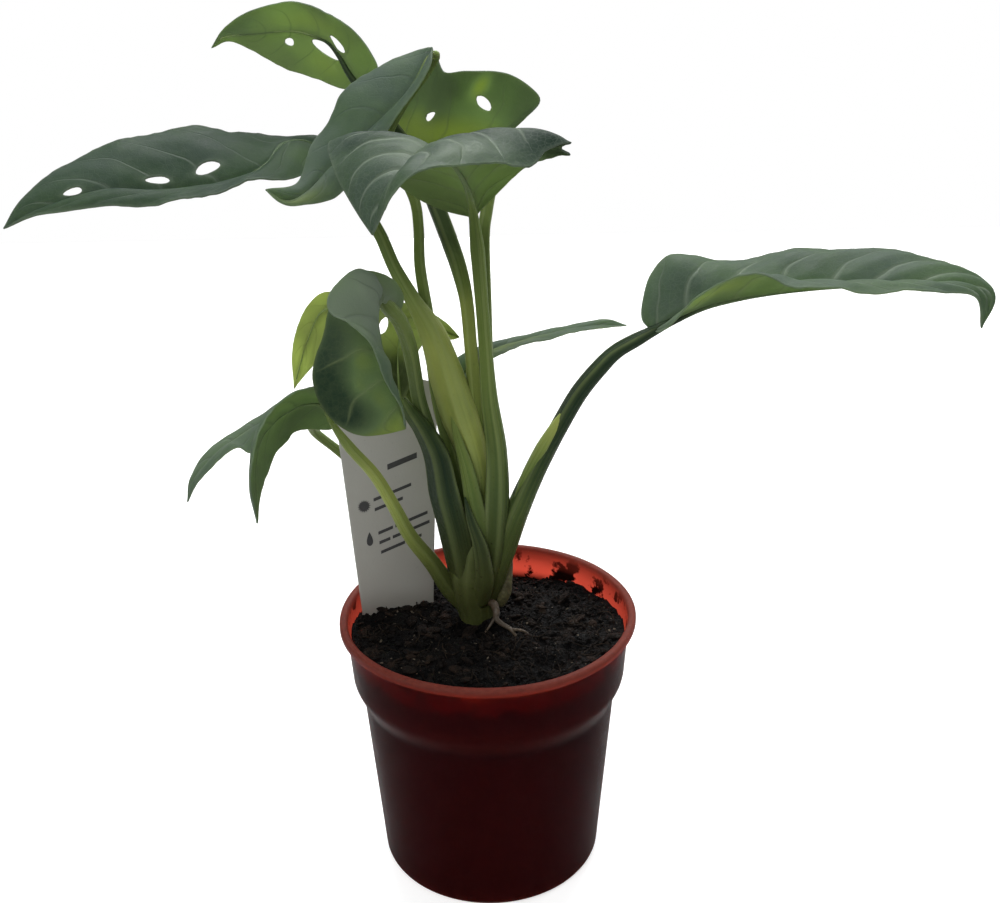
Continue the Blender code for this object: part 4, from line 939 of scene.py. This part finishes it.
def loftTube(name, path, radii, material, sides=28, step=1.4, groove=(0, -1, 0.2), grooveDepth=0.0,
             grooveFrom=0.0, flanges=(), wobble=0.03, seed=0.0, tintAndLights=(0.3,), ribTone=0.3, ribEnd=0.9):
    # A tube with a groove along one side, and flanges where a sheath's edges stand out.
    curve, length = smoothCurve(path, 401)
    u = np.linspace(0, 1, max(8, int(length / step)) + 1)
    centre = onCurve(curve, u)
    ahead = headingOn(curve, u, 0.004)
    marks = np.concatenate([[0], np.cumsum(np.linalg.norm(np.diff(np.array(path, float), axis=0), axis=1))])
    marks = marks / marks[-1]
    radius = np.interp(u, marks, radii)
    tintAndLight = np.interp(u, marks if len(tintAndLights) == len(path) else np.linspace(0, 1, len(tintAndLights)), tintAndLights)
    face = np.array(groove, float)
    angles = np.linspace(0, 2 * math.pi, sides, endpoint=False)
    c, s = np.cos(angles), np.sin(angles)
    lean = (angles + math.pi) % (2 * math.pi) - math.pi
    railPlace, railWidth = tubeShape["rails"]
    rails = np.exp(-((np.abs(lean) - railPlace) / railWidth) ** 2)
    dip = np.exp(-(lean / tubeShape["grooveWidth"]) ** 2)
    points, paleEdgeAndHighlight = [], []
    for k in range(len(u)):
        front = unit(face - ahead[k] * (face @ ahead[k]))
        side = np.cross(ahead[k], front)
        uneven = [noise.noise(Vector((math.cos(a), math.sin(a), u[k] * length / 14 + seed))) for a in angles]
        deep = grooveDepth * float(smoothStep(grooveFrom, grooveFrom + 0.06, u[k]))
        ring = radius[k] * (1 + wobble * np.array(uneven)) * (1 - deep * dip + 0.5 * deep * rails)
        # Painted highlight on the groove's two edges; below, the pale line on each flange.
        bright = rails ** 2 * min(1, deep * 4)
        part = (u[k] - grooveFrom) / (1 - grooveFrom)
        for start, end, way, tall in flanges:
            aim = np.array(way, float)
            aim = unit(aim - ahead[k] * (aim @ ahead[k]))
            toward = math.atan2(aim @ side, aim @ front)
            gap = (angles - toward + math.pi) % (2 * math.pi) - math.pi
            rise = math.sin(math.pi * min(max((part - start) / (end - start), 0), 1)) ** 0.5
            ring = ring + tall * rise * np.exp(-(gap / tubeShape["flange"]) ** 2)
            bright = np.maximum(bright, rise * np.exp(-(gap / tubeShape["flangeLine"]) ** 2))
        points += list(centre[k] + np.outer(c * ring, front) + np.outer(s * ring, side))
        paleEdgeAndHighlight += list(bright)
    piece = meshObject(name, np.array(points) * mm, tubeFaces(len(u), sides), [material])
    onRib = smoothStep(grooveFrom * (ribEnd + 0.1), grooveFrom * (ribEnd - 0.1), u) if grooveFrom else 0 * u
    pointValues(piece, "paleEdgeAndHighlight", paleEdgeAndHighlight)
    pointValues(piece, "around", np.tile(c, len(u)))
    perRing = {"tintAndLight": tintAndLight, "ribTone": 0 * u + ribTone, "rib": onRib, "height": centre[:, 2] * mm}
    for key, values in perRing.items():
        pointValues(piece, key, np.repeat(values, sides))
    return piece


def pathLength(path):
    return float(np.linalg.norm(np.diff(np.array(path, float), axis=0), axis=1).sum())


def midribPath(leaf, reach=0.92, count=9):
    # The stalk goes on under the blade as its midrib.
    rib, left, right, _ = leafCurves(leaf)
    out = []
    for u in np.linspace(reach, 0.05, count):
        spot = onCurve(rib, u)
        ahead = headingOn(rib, u, 0.01)
        onLeft, onRight = (unit(np.cross(ahead, onCurve(margin, u) - spot)) for margin in (left, right))
        out.append(tuple(spot - unit(onLeft - onRight) * (0.35 + 0.5 * (1 - u) ** 3)))
    return out


def addStalks():
    skin = stalkMaterial()
    for index, (name, stalk) in enumerate(stalks.items()):
        leaf = leaves["leaf_" + name]
        rib = midribPath(leaf)
        thick = [0.22 + (stalk["radii"][0] * 0.75 - 0.22) * (k / len(rib)) ** 3 for k in range(len(rib))]
        path = rib + stalk["path"][1:]
        piece = loftTube("stalk_" + name, path, thick + stalk["radii"][1:], skin, groove=stalk["groove"],
                         grooveDepth=tubeShape["grooveDepth"], grooveFrom=pathLength(rib) / pathLength(path),
                         flanges=stalk.get("flanges", []), seed=2.3 * index,
                         tintAndLights=[stalk["tintAndLight"][0]] * len(rib) + stalk["tintAndLight"][1:],
                         ribTone=leaf["ribTone"], ribEnd=stalk.get("ribEnd", 0.9))
        place(piece, ["stems"])
    for index, (name, (path, radii, tintAndLight)) in enumerate(sheaths.items()):
        piece = loftTube(name, path, radii, skin, groove=(0.6, -1, 0), grooveDepth=0.05,
                         flanges=[(0.0, 0.98, (-0.8, -0.6, 0), 0.45), (0.0, 0.98, (0.8, -0.6, 0), 0.35)],
                         seed=5.1 * index, tintAndLights=[tintAndLight, tintAndLight * 0.6, tintAndLight * 0.3])
        place(piece, ["stems"])
    ridges = [(0.05, 0.97, (math.cos(a), math.sin(a), 0), 0.5 + 0.3 * math.sin(3 * a))
              for a in crownShape["ridges"]]
    crown = loftTube("crown", crownShape["path"], crownShape["radii"], skin, sides=56, step=0.8, wobble=0.10,
                     flanges=ridges, seed=4.0, tintAndLights=crownShape["tintAndLights"])
    place(crown, ["stems"])
    print("stalks made:", len(stalks))


nubLook = {"tip": (0.110, 0.105, 0.040), "root": (0.062, 0.040, 0.020), "shade": (0.016, 0.011, 0.006)}

nubs = {
    # path, radii, colour
    "bud": ([(4, 7, 97), (6, 6, 102), (7, 6, 108), (8, 7, 114), (8, 8, 119)],
            [2.6, 2.8, 2.2, 1.3, 0.4], "tip"),
    "root": ([(-1, 3, 100), (2, 1, 100), (3, -1, 98), (3, -3, 96), (5, -5, 95), (8, -7, 94), (10, -9, 92)],
             [1.0, 1.4, 1.2, 1.0, 0.9, 0.8, 0.4], "root"),
    "rootFork": ([(3, -2, 97), (1, -5, 95), (-1, -7, 93)], [0.7, 0.5, 0.3], "root"),
    "rootThin": ([(8, -7, 94), (12, -8, 94), (15, -8, 92)], [0.6, 0.5, 0.3], "root"),
}


def addNubs():
    skins = {}
    for kind in ("tip", "root"):
        material, tree, shader = startMaterial("nub" + kind.capitalize())
        tone = mottled(tree, 160.0, 900.0)
        body = layer(tree, nubLook[kind], nubLook["shade"], tone["Broad"], 0.5)
        body = layer(tree, body, nubLook["shade"], tone["Fine"], 0.4)
        rough = addUp(tree, 0.5, (tone["Fine"], 0.2))
        dress(tree, shader, body, rough, bump(tree, tone["Fine"], 0.5, 0.0004))
        skins[kind] = material
    for index, (name, (path, radii, kind)) in enumerate(nubs.items()):
        piece = loftTube(name, path, radii, skins[kind], sides=18, step=0.6, wobble=0.12, seed=7.0 + index)
        place(piece, ["stems"])
    print("buds and roots made:", len(nubs))


# Pot

pot = {
    # radii and heights in mm, from the lip down to the foot
    "rim": 52.5, "height": 98.4, "lipHeight": 2.8, "lipWidth": 2.9, "lipRound": 0.9,
    "collarTop": 50.0, "collarLow": 48.9, "collarLowZ": 77.0, "stepLowZ": 66.0, "bodyTop": 45.4, "base": 40.2,
    "foot": 3.0, "wall": 1.3, "floor": 1.8, "steps": 192, "drains": 6, "drainRadius": 4.0, "drainRing": 25.0,
    "drawIn": 0.2,      # so that the uneven rim keeps to its size
    "outside": (0.010, 0.0013, 0.0030), "outsideWarm": (0.020, 0.0024, 0.0046),
    # inside: the inner wall painted bright orange red for the light that shines through the pot from behind
    "inside": (0.20, 0.026, 0.015),
    "dust": (0.115, 0.034, 0.025), "grime": (0.05, 0.022, 0.018), "lint": (0.22, 0.17, 0.16),
    "soilSmear": (0.003, 0.002, 0.002), "roughness": 0.15, "gloss": 0.04,
    "through": (1.0, 0.33, 0.25), "throughShare": 0.62,
    # a painted glow in front, where light comes through the thin wall: x and height in mm, its reach, its
    # colour
    "paintedGlowPlace": (-10.0, 94.0), "paintedGlowReach": (10.0, 1.9), "paintedGlow": (0.22, 0.014, 0.008),
}


def potMaterial():
    material, tree, shader = startMaterial("potPlastic")
    tone = mottled(tree, 26.0, 600.0)
    lint = speckled(tree, 1100.0, 0.10, 0.28)
    spot = objectPlace(tree)
    streak = span(tree, noiseValue(tree, 60.0, 3.0, stretched(tree, spot, (1.0, 1.0, 0.10))), 0.45, 0.72)
    lip = pointValue(tree, "lip")
    inner = pointValue(tree, "inner")
    body = layer(tree, pot["outside"], pot["outsideWarm"], tone["Broad"], 0.55)
    body = layer(tree, body, pot["outsideWarm"], streak, 0.25)
    # The inner wall painted bright for the light through the pot from behind.
    body = mixColour(tree, inner, body, pot["inside"])
    # A painted glow in front, just under the rim, where light comes through the thin wall.
    body = mixColour(tree, pointValue(tree, "thin"), body, pot["paintedGlow"])
    split = tree.nodes.new("ShaderNodeSeparateXYZ")
    tree.links.new(spot, split.inputs[0])
    buried = span(tree, split.outputs["Z"], 0.089, 0.085)
    smear = maths(tree, "MAXIMUM", span(tree, noiseValue(tree, 110.0, 6.0), 0.55, 0.61), buried)
    smear = times(tree, smear, inner)
    body = layer(tree, body, pot["soilSmear"], smear, 0.95)
    # The lip painted paler: partly dust, partly painted light on its top.
    body = layer(tree, body, pot["dust"], lip, addUp(tree, 0.62, (tone["Fine"], 0.38)))
    grime = times(tree, lip, span(tree, noiseValue(tree, 420.0, 4.0), 0.60, 0.70))
    body = layer(tree, body, pot["grime"], grime, 0.7)
    body = layer(tree, body, pot["lint"], lint, 0.6)
    rough = addUp(tree, pot["roughness"], (tone["Fine"], 0.10), (lip, 0.28), (streak, 0.08))
    relief = addUp(tree, 0.0, (tone["Fine"], 0.25), (streak, 0.5), (lint, 0.4))
    dress(tree, shader, body, rough, bump(tree, relief, 0.25, 0.0004), pot["gloss"])
    share = times(tree, pot["throughShare"], addUp(tree, 1.0, (lip, -0.7)))
    letThrough(tree, shader, mixColour(tree, smear, pot["through"], pot["soilSmear"]), share)
    return material


def potProfile():
    # Radius, height and two marks: on the lip, and on the inner wall. Down the outside, then back up inside.
    rim, top, low = pot["rim"], pot["height"], pot["height"] - pot["lipHeight"]
    edge = pot["lipRound"]
    out = []
    for k in range(6):
        angle = math.radians(90 - 90 * k / 5)
        out.append((rim - edge + edge * math.cos(angle), top - edge + edge * math.sin(angle), 1, 0))
    for k in range(4):
        angle = math.radians(-90 * k / 3)
        out.append((rim - 0.6 + 0.6 * math.cos(angle), low + 0.6 + 0.6 * math.sin(angle), 0.25, 0))
    out += [(pot["collarTop"] + 0.7, low, 0.1, 0), (pot["collarTop"] + 0.1, low - 0.35, 0, 0),
            (pot["collarTop"], low - 1.0, 0, 0)]

    def step(inset, inner):
        rows = []
        for k in range(13):
            t = k / 12
            blend = t * t * (3 - 2 * t)
            rows.append((pot["collarLow"] + (pot["bodyTop"] - pot["collarLow"]) * blend - inset,
                         pot["collarLowZ"] + (pot["stepLowZ"] - pot["collarLowZ"]) * t, 0, inner))
        return rows

    def bodyRadius(z):
        return pot["base"] + (pot["bodyTop"] - pot["base"]) * z / pot["stepLowZ"]

    for z in (92, 88, 84, 80):
        t = (low - 1 - z) / (low - 1 - pot["collarLowZ"])
        out.append((pot["collarTop"] + (pot["collarLow"] - pot["collarTop"]) * t, z, 0, 0))
    out += step(0, 0)
    out += [(bodyRadius(z), z, 0, 0) for z in (58, 48, 38, 28, 18, 9)]
    foot = pot["foot"]
    for k in range(8):
        angle = math.radians(90 * k / 7)
        out.append((bodyRadius(foot) - foot + foot * math.cos(angle), foot - foot * math.sin(angle), 0, 0))
    out += [(r, 0, 0, 0) for r in (33, 29.5, 25, 20.5, 12, 0)]
    out += [(r, pot["floor"], 0, 1) for r in (0, 12, 20.5, 25, 29.5, 34)]
    out += [(bodyRadius(4) - pot["wall"], 4.3, 0, 1)]
    out += [(bodyRadius(z) - pot["wall"], z, 0, 1) for z in (18, 38, 58)]
    out += reversed(step(pot["wall"], 1))
    inner = rim - pot["lipWidth"]
    out += [(inner - 0.9, 84, 0, 1), (inner - 0.35, 91, 0, 1), (inner, top - 2.8, 0.2, 0.8),
            (inner + 0.1, top - 0.7, 0.9, 0.1), (inner + 0.5, top - 0.15, 1, 0), (inner + 1.0, top, 1, 0)]
    return out


def cutDrains(shell):
    cutters = []
    for k in range(pot["drains"]):
        angle = 2 * math.pi * (k + 0.5) / pot["drains"]
        build = bmesh.new()
        bmesh.ops.create_cone(build, cap_ends=True, segments=40, radius1=pot["drainRadius"] * mm,
                              radius2=pot["drainRadius"] * mm, depth=8 * mm)
        mesh = bpy.data.meshes.new("drainCutter")
        build.to_mesh(mesh)
        build.free()
        cutter = bpy.data.objects.new("drainCutter%d" % k, mesh)
        ring = pot["drainRing"]
        cutter.location = (ring * math.cos(angle) * mm, ring * math.sin(angle) * mm, 0)
        scene.collection.objects.link(cutter)
        cutters.append(cutter)
        cut = shell.modifiers.new("drain", "BOOLEAN")
        cut.operation = "DIFFERENCE"
        cut.object = cutter
    bpy.context.view_layer.update()
    shell.data = bpy.data.meshes.new_from_object(shell.evaluated_get(bpy.context.evaluated_depsgraph_get()))
    shell.modifiers.clear()
    for cutter in cutters:
        bpy.data.objects.remove(cutter)


def addPot():
    profile = potProfile()
    steps = pot["steps"]
    angles = np.linspace(0, 2 * math.pi, steps, endpoint=False)
    points, lip, inner, starts = [], [], [], []
    for r, z, onLip, onInner in profile:
        starts.append(len(points))
        if r == 0:
            points.append((0, 0, z))
        else:
            share = smoothStep(60, 98, z)      # the thin rim is a little out of round
            for a in angles:
                sway = share * (0.28 * math.sin(2 * a + 0.6) + 0.12 * math.sin(5 * a + 2.0))
                dip = share * 0.22 * math.sin(3 * a + 1.1)
                radius = r + sway - pot["drawIn"]
                points.append((radius * math.cos(a), radius * math.sin(a), z + min(dip, 0)))
        count = len(points) - starts[-1]
        lip += [onLip] * count
        inner += [onInner] * count
    faces = []
    for index in range(len(profile)):
        after = (index + 1) % len(profile)
        a, b = starts[index], starts[after]
        onAxis, endsOnAxis = profile[index][0] == 0, profile[after][0] == 0
        if onAxis and endsOnAxis:
            continue
        for k in range(steps):
            n = (k + 1) % steps
            if onAxis:
                faces.append((b + k, b + n, a))
            elif endsOnAxis:
                faces.append((b, a + n, a + k))
            else:
                faces.append((b + k, b + n, a + n, a + k))
    shell = meshObject("potShell", np.array(points) * mm, faces, [potMaterial()])
    pointValues(shell, "lip", lip)
    pointValues(shell, "inner", inner)
    # Where the painted glow lies, on the thin wall in front.
    x, z = pot["paintedGlowPlace"]
    wide, tall = pot["paintedGlowReach"]
    pointValues(shell, "thin", [0.9 * math.exp(-((p[0] - x) / wide) ** 4 - ((p[2] - z) / tall) ** 2)
                                * (p[1] < -49) for p in points])      # on the outer face in front alone
    cutDrains(shell)
    shell.data.shade_smooth()
    shell.data.set_sharp_from_angle(angle=math.radians(50))
    place(shell, ["pot"])
    print("pot made")


# Soil

soil = {
    "level": 91.5, "slope": 0.085, "top": 96.6, "rings": 96, "steps": 240, "radius": 48.6,
    # height, scale and seed of each size of lump
    "lumps": [(1.3, 0.11, 3.0), (0.9, 0.27, 9.0), (0.5, 0.62, 1.0), (0.28, 1.5, 5.0)],
    # height and radius in mm, down the wall of the pot and under the soil
    "sides": [(80, 46.9), (64, 43.4), (30, 40.6), (6, 38.6), (2.2, 36.5), (2.1, 20)],
    "dark": (0.0012, 0.0012, 0.0014), "brown": (0.0058, 0.0048, 0.0044), "grit": (0.05, 0.04, 0.032),
    "damp": 0.55, "gloss": 0.08,
    "loose": [
        # name, how many, sizes in mm, flatness, dark and pale colour, seed, subdivisions
        ("soilCrumbs", 1700, (0.35, 1.25), (0.5, 0.9), (0.002, 0.0018, 0.0018), (0.010, 0.007, 0.0055), 3, 1),
        ("soilBark", 150, (1.0, 2.4), (0.25, 0.5), (0.004, 0.003, 0.0025), (0.026, 0.016, 0.011), 5, 2),
        ("soilFlecks", 150, (0.25, 0.6), (0.3, 0.7), (0.06, 0.05, 0.035), (0.16, 0.13, 0.10), 7, 1),
    ],
    "fibres": 260, "fibreSeed": 11, "fibreSides": 5, "fibreRings": 7,
    "fibreDark": (0.007, 0.005, 0.004), "fibrePale": (0.030, 0.021, 0.014),
}


def soilHeight(x, y):
    # Lumpy, low at the back and higher toward the front.
    waves = math.sin(0.21 * x + 1.1) * math.cos(0.17 * y - 0.4) + 0.6 * math.sin(0.33 * x - 0.29 * y)
    rough = sum(tall * noise.noise(Vector((x * scale, y * scale, seed)))
                for tall, scale, seed in soil["lumps"])
    edge = smoothStep(40, 48.5, math.hypot(x, y))
    height = soil["level"] - soil["slope"] * y + 0.8 * waves + 1.5 * rough
    return min(height - 1.2 * edge * max(0.0, y / 48.0), soil["top"])


def soilMaterial(name, dark, pale):
    material, tree, shader = startMaterial(name)
    tone = mottled(tree, 77.0, 1100.0)
    grit = speckled(tree, 1300.0, 0.06, 0.30)
    body = layer(tree, dark, pale, span(tree, tone["Broad"], 0.35, 0.8), 0.6)
    body = layer(tree, body, pale, tone["Fine"], 0.35)
    body = layer(tree, body, soil["grit"], grit, 0.6)
    rough = addUp(tree, soil["damp"], (tone["Fine"], 0.3))
    normal = bump(tree, plus(tree, tone["Fine"], tone["Broad"]), 0.9, 0.0008)
    dress(tree, shader, body, rough, normal, soil["gloss"])
    return material


def addSoilBed():
    rings, steps = soil["rings"], soil["steps"]
    points = [(0, 0, soilHeight(0, 0))]
    for k in range(1, rings + 1):
        r = soil["radius"] * (k / rings) ** 0.85
        for j in range(steps):
            a = 2 * math.pi * j / steps
            x, y = r * math.cos(a), r * math.sin(a)
            points.append((x, y, soilHeight(x, y)))
    for z, r in soil["sides"]:
        for j in range(steps):
            a = 2 * math.pi * j / steps
            points.append((r * math.cos(a), r * math.sin(a), z))
    points.append((0, 0, soil["sides"][-1][0]))
    faces = [(0, 1 + j, 1 + (j + 1) % steps) for j in range(steps)]
    loops = rings + len(soil["sides"])
    for k in range(loops - 1):
        a, b = 1 + k * steps, 1 + (k + 1) * steps
        for j in range(steps):
            n = (j + 1) % steps
            faces.append((a + j, b + j, b + n, a + n))
    a = 1 + (loops - 1) * steps
    faces += [(a + j, len(points) - 1, a + (j + 1) % steps) for j in range(steps)]
    peat = soilMaterial("soilPeat", soil["dark"], soil["brown"])
    bed = meshObject("soilBed", np.array(points) * mm, faces, [peat])
    place(bed, ["soil"])


def lumpShape(detail):
    build = bmesh.new()
    bmesh.ops.create_icosphere(build, subdivisions=detail, radius=1.0)
    points = np.array([v.co for v in build.verts])
    faces = [[v.index for v in f.verts] for f in build.faces]
    build.free()
    return points, faces


def onSoil(draw, inner=9.5, outer=47.0):
    # A random place on the soil, clear of the crown and of the pot's wall.
    while True:
        x, y = draw.uniform(-outer, outer), draw.uniform(-outer, outer)
        if math.hypot(x, y) <= outer and math.hypot(x - crownPoint[0], y - crownPoint[1]) >= inner:
            return x, y


def scatterLumps(name, count, sizes, flat, material, seed, detail):
    draw = random.Random(seed)
    shape, shapeFaces = lumpShape(detail)
    points, faces = [], []
    for index in range(count):
        x, y = onSoil(draw)
        size = draw.uniform(*sizes)
        stretch = size * np.array([draw.uniform(0.7, 1.5), draw.uniform(0.6, 1.0), draw.uniform(*flat)])
        turn = Matrix.Rotation(draw.uniform(0, 6.28), 3, "Z")
        for axis in "XY":
            turn = turn @ Matrix.Rotation(draw.uniform(-0.5, 0.5), 3, axis)
        rough = 1 + 0.35 * bumpiness(shape, 1.3, index * 1.7)
        lump = (shape * rough[:, None] * stretch) @ np.array(turn).T
        low = len(points)
        points += list(lump + np.array([x, y, soilHeight(x, y) + 0.25 * size]))
        faces += [[low + k for k in face] for face in shapeFaces]
    piece = meshObject(name, np.array(points) * mm, faces, [material], smooth=False)
    place(piece, ["soil"])


def addFibres():
    draw = random.Random(soil["fibreSeed"])
    points, faces = [], []
    sides, count = soil["fibreSides"], soil["fibreRings"]
    for _ in range(soil["fibres"]):
        x, y = onSoil(draw, 10, 46)
        heading = draw.uniform(0, 2 * math.pi)
        length = draw.uniform(3, 15)
        radius = draw.uniform(0.10, 0.30)
        bend = draw.uniform(-0.35, 0.35)
        rise = draw.uniform(0.0, 1.0) ** 3 * 2.6
        faces += tubeFaces(count, sides, len(points))
        for k in range(count):
            ahead = heading + bend * k
            z = soilHeight(x, y) + 0.5 + rise * math.sin(math.pi * k / (count - 1))
            thin = radius * (1 - 0.6 * abs(2 * k / (count - 1) - 1) ** 2)
            for j in range(sides):
                a = 2 * math.pi * j / sides
                points.append((x - math.sin(ahead) * thin * math.cos(a),
                               y + math.cos(ahead) * thin * math.cos(a), z + thin * math.sin(a)))
            x += math.cos(ahead) * length / count
            y += math.sin(ahead) * length / count
            if math.hypot(x, y) > 47.5:
                x, y = x * 0.97, y * 0.97
    material = soilMaterial("soilFibre", soil["fibreDark"], soil["fibrePale"])
    piece = meshObject("soilFibres", np.array(points) * mm, faces, [material])
    place(piece, ["soil"])


def addSoil():
    addSoilBed()
    for name, count, sizes, flat, dark, pale, seed, detail in soil["loose"]:
        scatterLumps(name, count, sizes, flat, soilMaterial(name.rstrip("s"), dark, pale), seed, detail)
    addFibres()
    print("soil made")


# Label

label = {
    # mm and degrees; the foot is where it meets the soil
    "foot": (-33.0, 16.0, 92.5), "turn": 22.0, "leanSide": 0.7, "leanBack": 4.0,
    "halfFoot": 13.8, "halfTop": 19.2, "above": 84.0, "below": 36.0, "corner": 6.0, "thick": 0.8,
    "bow": 0.10,            # how far the middle of the thin tag stands out
    # colour and pale: the white tag painted light grey, for the shade it stands in.
    "colour": (0.37, 0.365, 0.335), "pale": (0.40, 0.41, 0.38), "soiled": (0.10, 0.085, 0.07),
    "dirt": (0.07, 0.06, 0.05), "through": (0.75, 0.75, 0.70), "throughShare": 0.22,
    "ink": (0.030, 0.030, 0.032), "inkWorn": (0.09, 0.09, 0.09), "inkHeight": 0.04,
    "barSlope": 0.25, "barGap": 0.9,
    "sun": (-10.6, 40.4), "sunRays": (2.5, 1.7),
    "drop": (-9.3, 27.6), "dropSize": (1.6, 2.7),
    "lines": [
        # x, height, lengths of its bars, height of the bars
        (-1.2, 52.6, [11.2], 2.1),
        (-7.0, 41.6, [5.0, 8.4], 1.2),
        (-6.8, 37.8, [6.6, 3.2], 1.2),
        (-6.0, 28.6, [5.6, 3.0, 8.6], 1.2),
        (-5.8, 24.8, [4.2, 5.4, 8.0], 1.2),
        (-5.4, 21.0, [9.2, 5.6], 1.2),
    ],
}


def labelAxes():
    # Across the tag, up along it, and out of its face.
    side, back, turn = (math.radians(label[k]) for k in ("leanSide", "leanBack", "turn"))
    across = Vector((math.cos(turn) * math.cos(side), math.sin(turn) * math.cos(side), -math.sin(side)))
    up = Vector((math.sin(side), math.sin(back), math.cos(side) * math.cos(back))).normalized()
    up = (up - across * up.dot(across)).normalized()
    return across, up, across.cross(up)


def labelBow(x):
    return label["bow"] * (1 - (x / 20) ** 2)


def labelMaterial():
    material, tree, shader = startMaterial("labelPlastic")
    tone = mottled(tree, 22.0, 800.0)
    body = layer(tree, label["colour"], label["pale"], tone["Broad"], 0.18)
    low = span(tree, addUp(tree, pointValue(tree, "height"), (tone["Broad"], 0.006)), 0.104, 0.094)
    body = layer(tree, body, label["soiled"], low, 0.5)
    body = layer(tree, body, label["dirt"], speckled(tree, 700.0, 0.10, 0.20), 0.5)
    rough = addUp(tree, 0.38, (tone["Fine"], 0.14))
    dress(tree, shader, body, rough, bump(tree, tone["Fine"], 0.15, 0.0002))
    letThrough(tree, shader, label["through"], label["throughShare"])
    return material


def addLabel():
    rows, columns = 90, 28
    across, up, out = labelAxes()
    points, heights, faces = [], [], []
    total = label["above"] + label["below"]
    for i in range(rows + 1):
        z = -label["below"] + total * i / rows
        if z < 0:
            half = label["halfFoot"] * (0.10 + 0.90 * (1 - (z / -label["below"]) ** 2.2))
        else:
            half = label["halfFoot"] + (label["halfTop"] - label["halfFoot"]) * z / label["above"]
        over = z - (label["above"] - label["corner"])
        if over > 0:
            half -= label["corner"] - math.sqrt(max(label["corner"] ** 2 - over ** 2, 0))
        for j in range(columns + 1):
            x = half * (2 * j / columns - 1)
            spot = Vector(label["foot"]) + across * x + up * z + out * labelBow(x)
            points.append(spot * mm)
            heights.append(spot.z * mm)
    for i in range(rows):
        for j in range(columns):
            a = i * (columns + 1) + j
            faces.append((a, a + 1, a + columns + 2, a + columns + 1))
    tag = meshObject("labelTag", points, faces, [labelMaterial()])
    pointValues(tag, "height", heights)
    thick = tag.modifiers.new("thickness", "SOLIDIFY")
    thick.thickness = label["thick"] * 0.9 * mm
    thick.offset = 0
    edges = tag.modifiers.new("edges", "BEVEL")
    edges.width = 0.2 * mm
    edges.segments = 2
    edges.limit_method = "ANGLE"
    place(tag, ["plant_label"])
    addLabelMarks(across, up, out)


def addLabelMarks(across, up, out):
    # Plain bars, a sun and a drop, as thin prints on the near face.
    toward = 1 if out.y < 0 else -1
    near = out * toward
    points, faces = [], []

    def patch(outline):
        low, n = len(points), len(outline)
        flat = []
        for x, z in outline:
            lift = label["thick"] * 0.45 + toward * labelBow(x) + label["inkHeight"]
            flat.append(Vector(label["foot"]) + across * x + up * z + near * lift)
        back = [p - near * (label["inkHeight"] + 0.15) for p in flat]
        points.extend([p * mm for p in flat + back])
        faces.append([low + k for k in range(n)])
        faces.append([low + n + k for k in range(n - 1, -1, -1)])
        for k in range(n):
            after = (k + 1) % n
            faces.append([low + k, low + n + k, low + n + after, low + after])

    for x, z, bars, tall in label["lines"]:
        for wide in bars:
            rise = label["barSlope"] * wide
            patch([(x, z), (x + wide, z + rise), (x + wide, z + rise + tall), (x, z + tall)])
            x, z = x + wide + label["barGap"], z + rise + label["barGap"] * label["barSlope"]
    sunX, sunZ = label["sun"]
    rays = [(label["sunRays"][k % 2], 2 * math.pi * k / 32) for k in range(32)]
    patch([(sunX + r * math.cos(a), sunZ + r * math.sin(a)) for r, a in rays])
    dropX, dropZ = label["drop"]
    wide, tall = label["dropSize"]
    turns = [2 * math.pi * k / 20 for k in range(20)]
    patch([(dropX + wide * math.sin(a) * abs(math.sin(a / 2)) ** 1.2, dropZ + tall * math.cos(a))
           for a in turns])
    material, tree, shader = startMaterial("labelInk")
    ink = layer(tree, label["ink"], label["inkWorn"], noiseValue(tree, 900.0, 3.0), 0.5)
    tree.links.new(ink, shader.inputs["Base Color"])
    shader.inputs["Roughness"].default_value = 0.5
    marks = meshObject("labelMarks", points, faces, [material], smooth=False)
    build = bmesh.new()
    build.from_mesh(marks.data)
    bmesh.ops.recalc_face_normals(build, faces=build.faces)
    build.to_mesh(marks.data)
    build.free()
    place(marks, ["plant_label"])
    print("label made")


addCamera()
addStudio()
addPot()
addSoil()
addLabel()
addLeaves()
addStalks()
addNubs()

print("scene done")
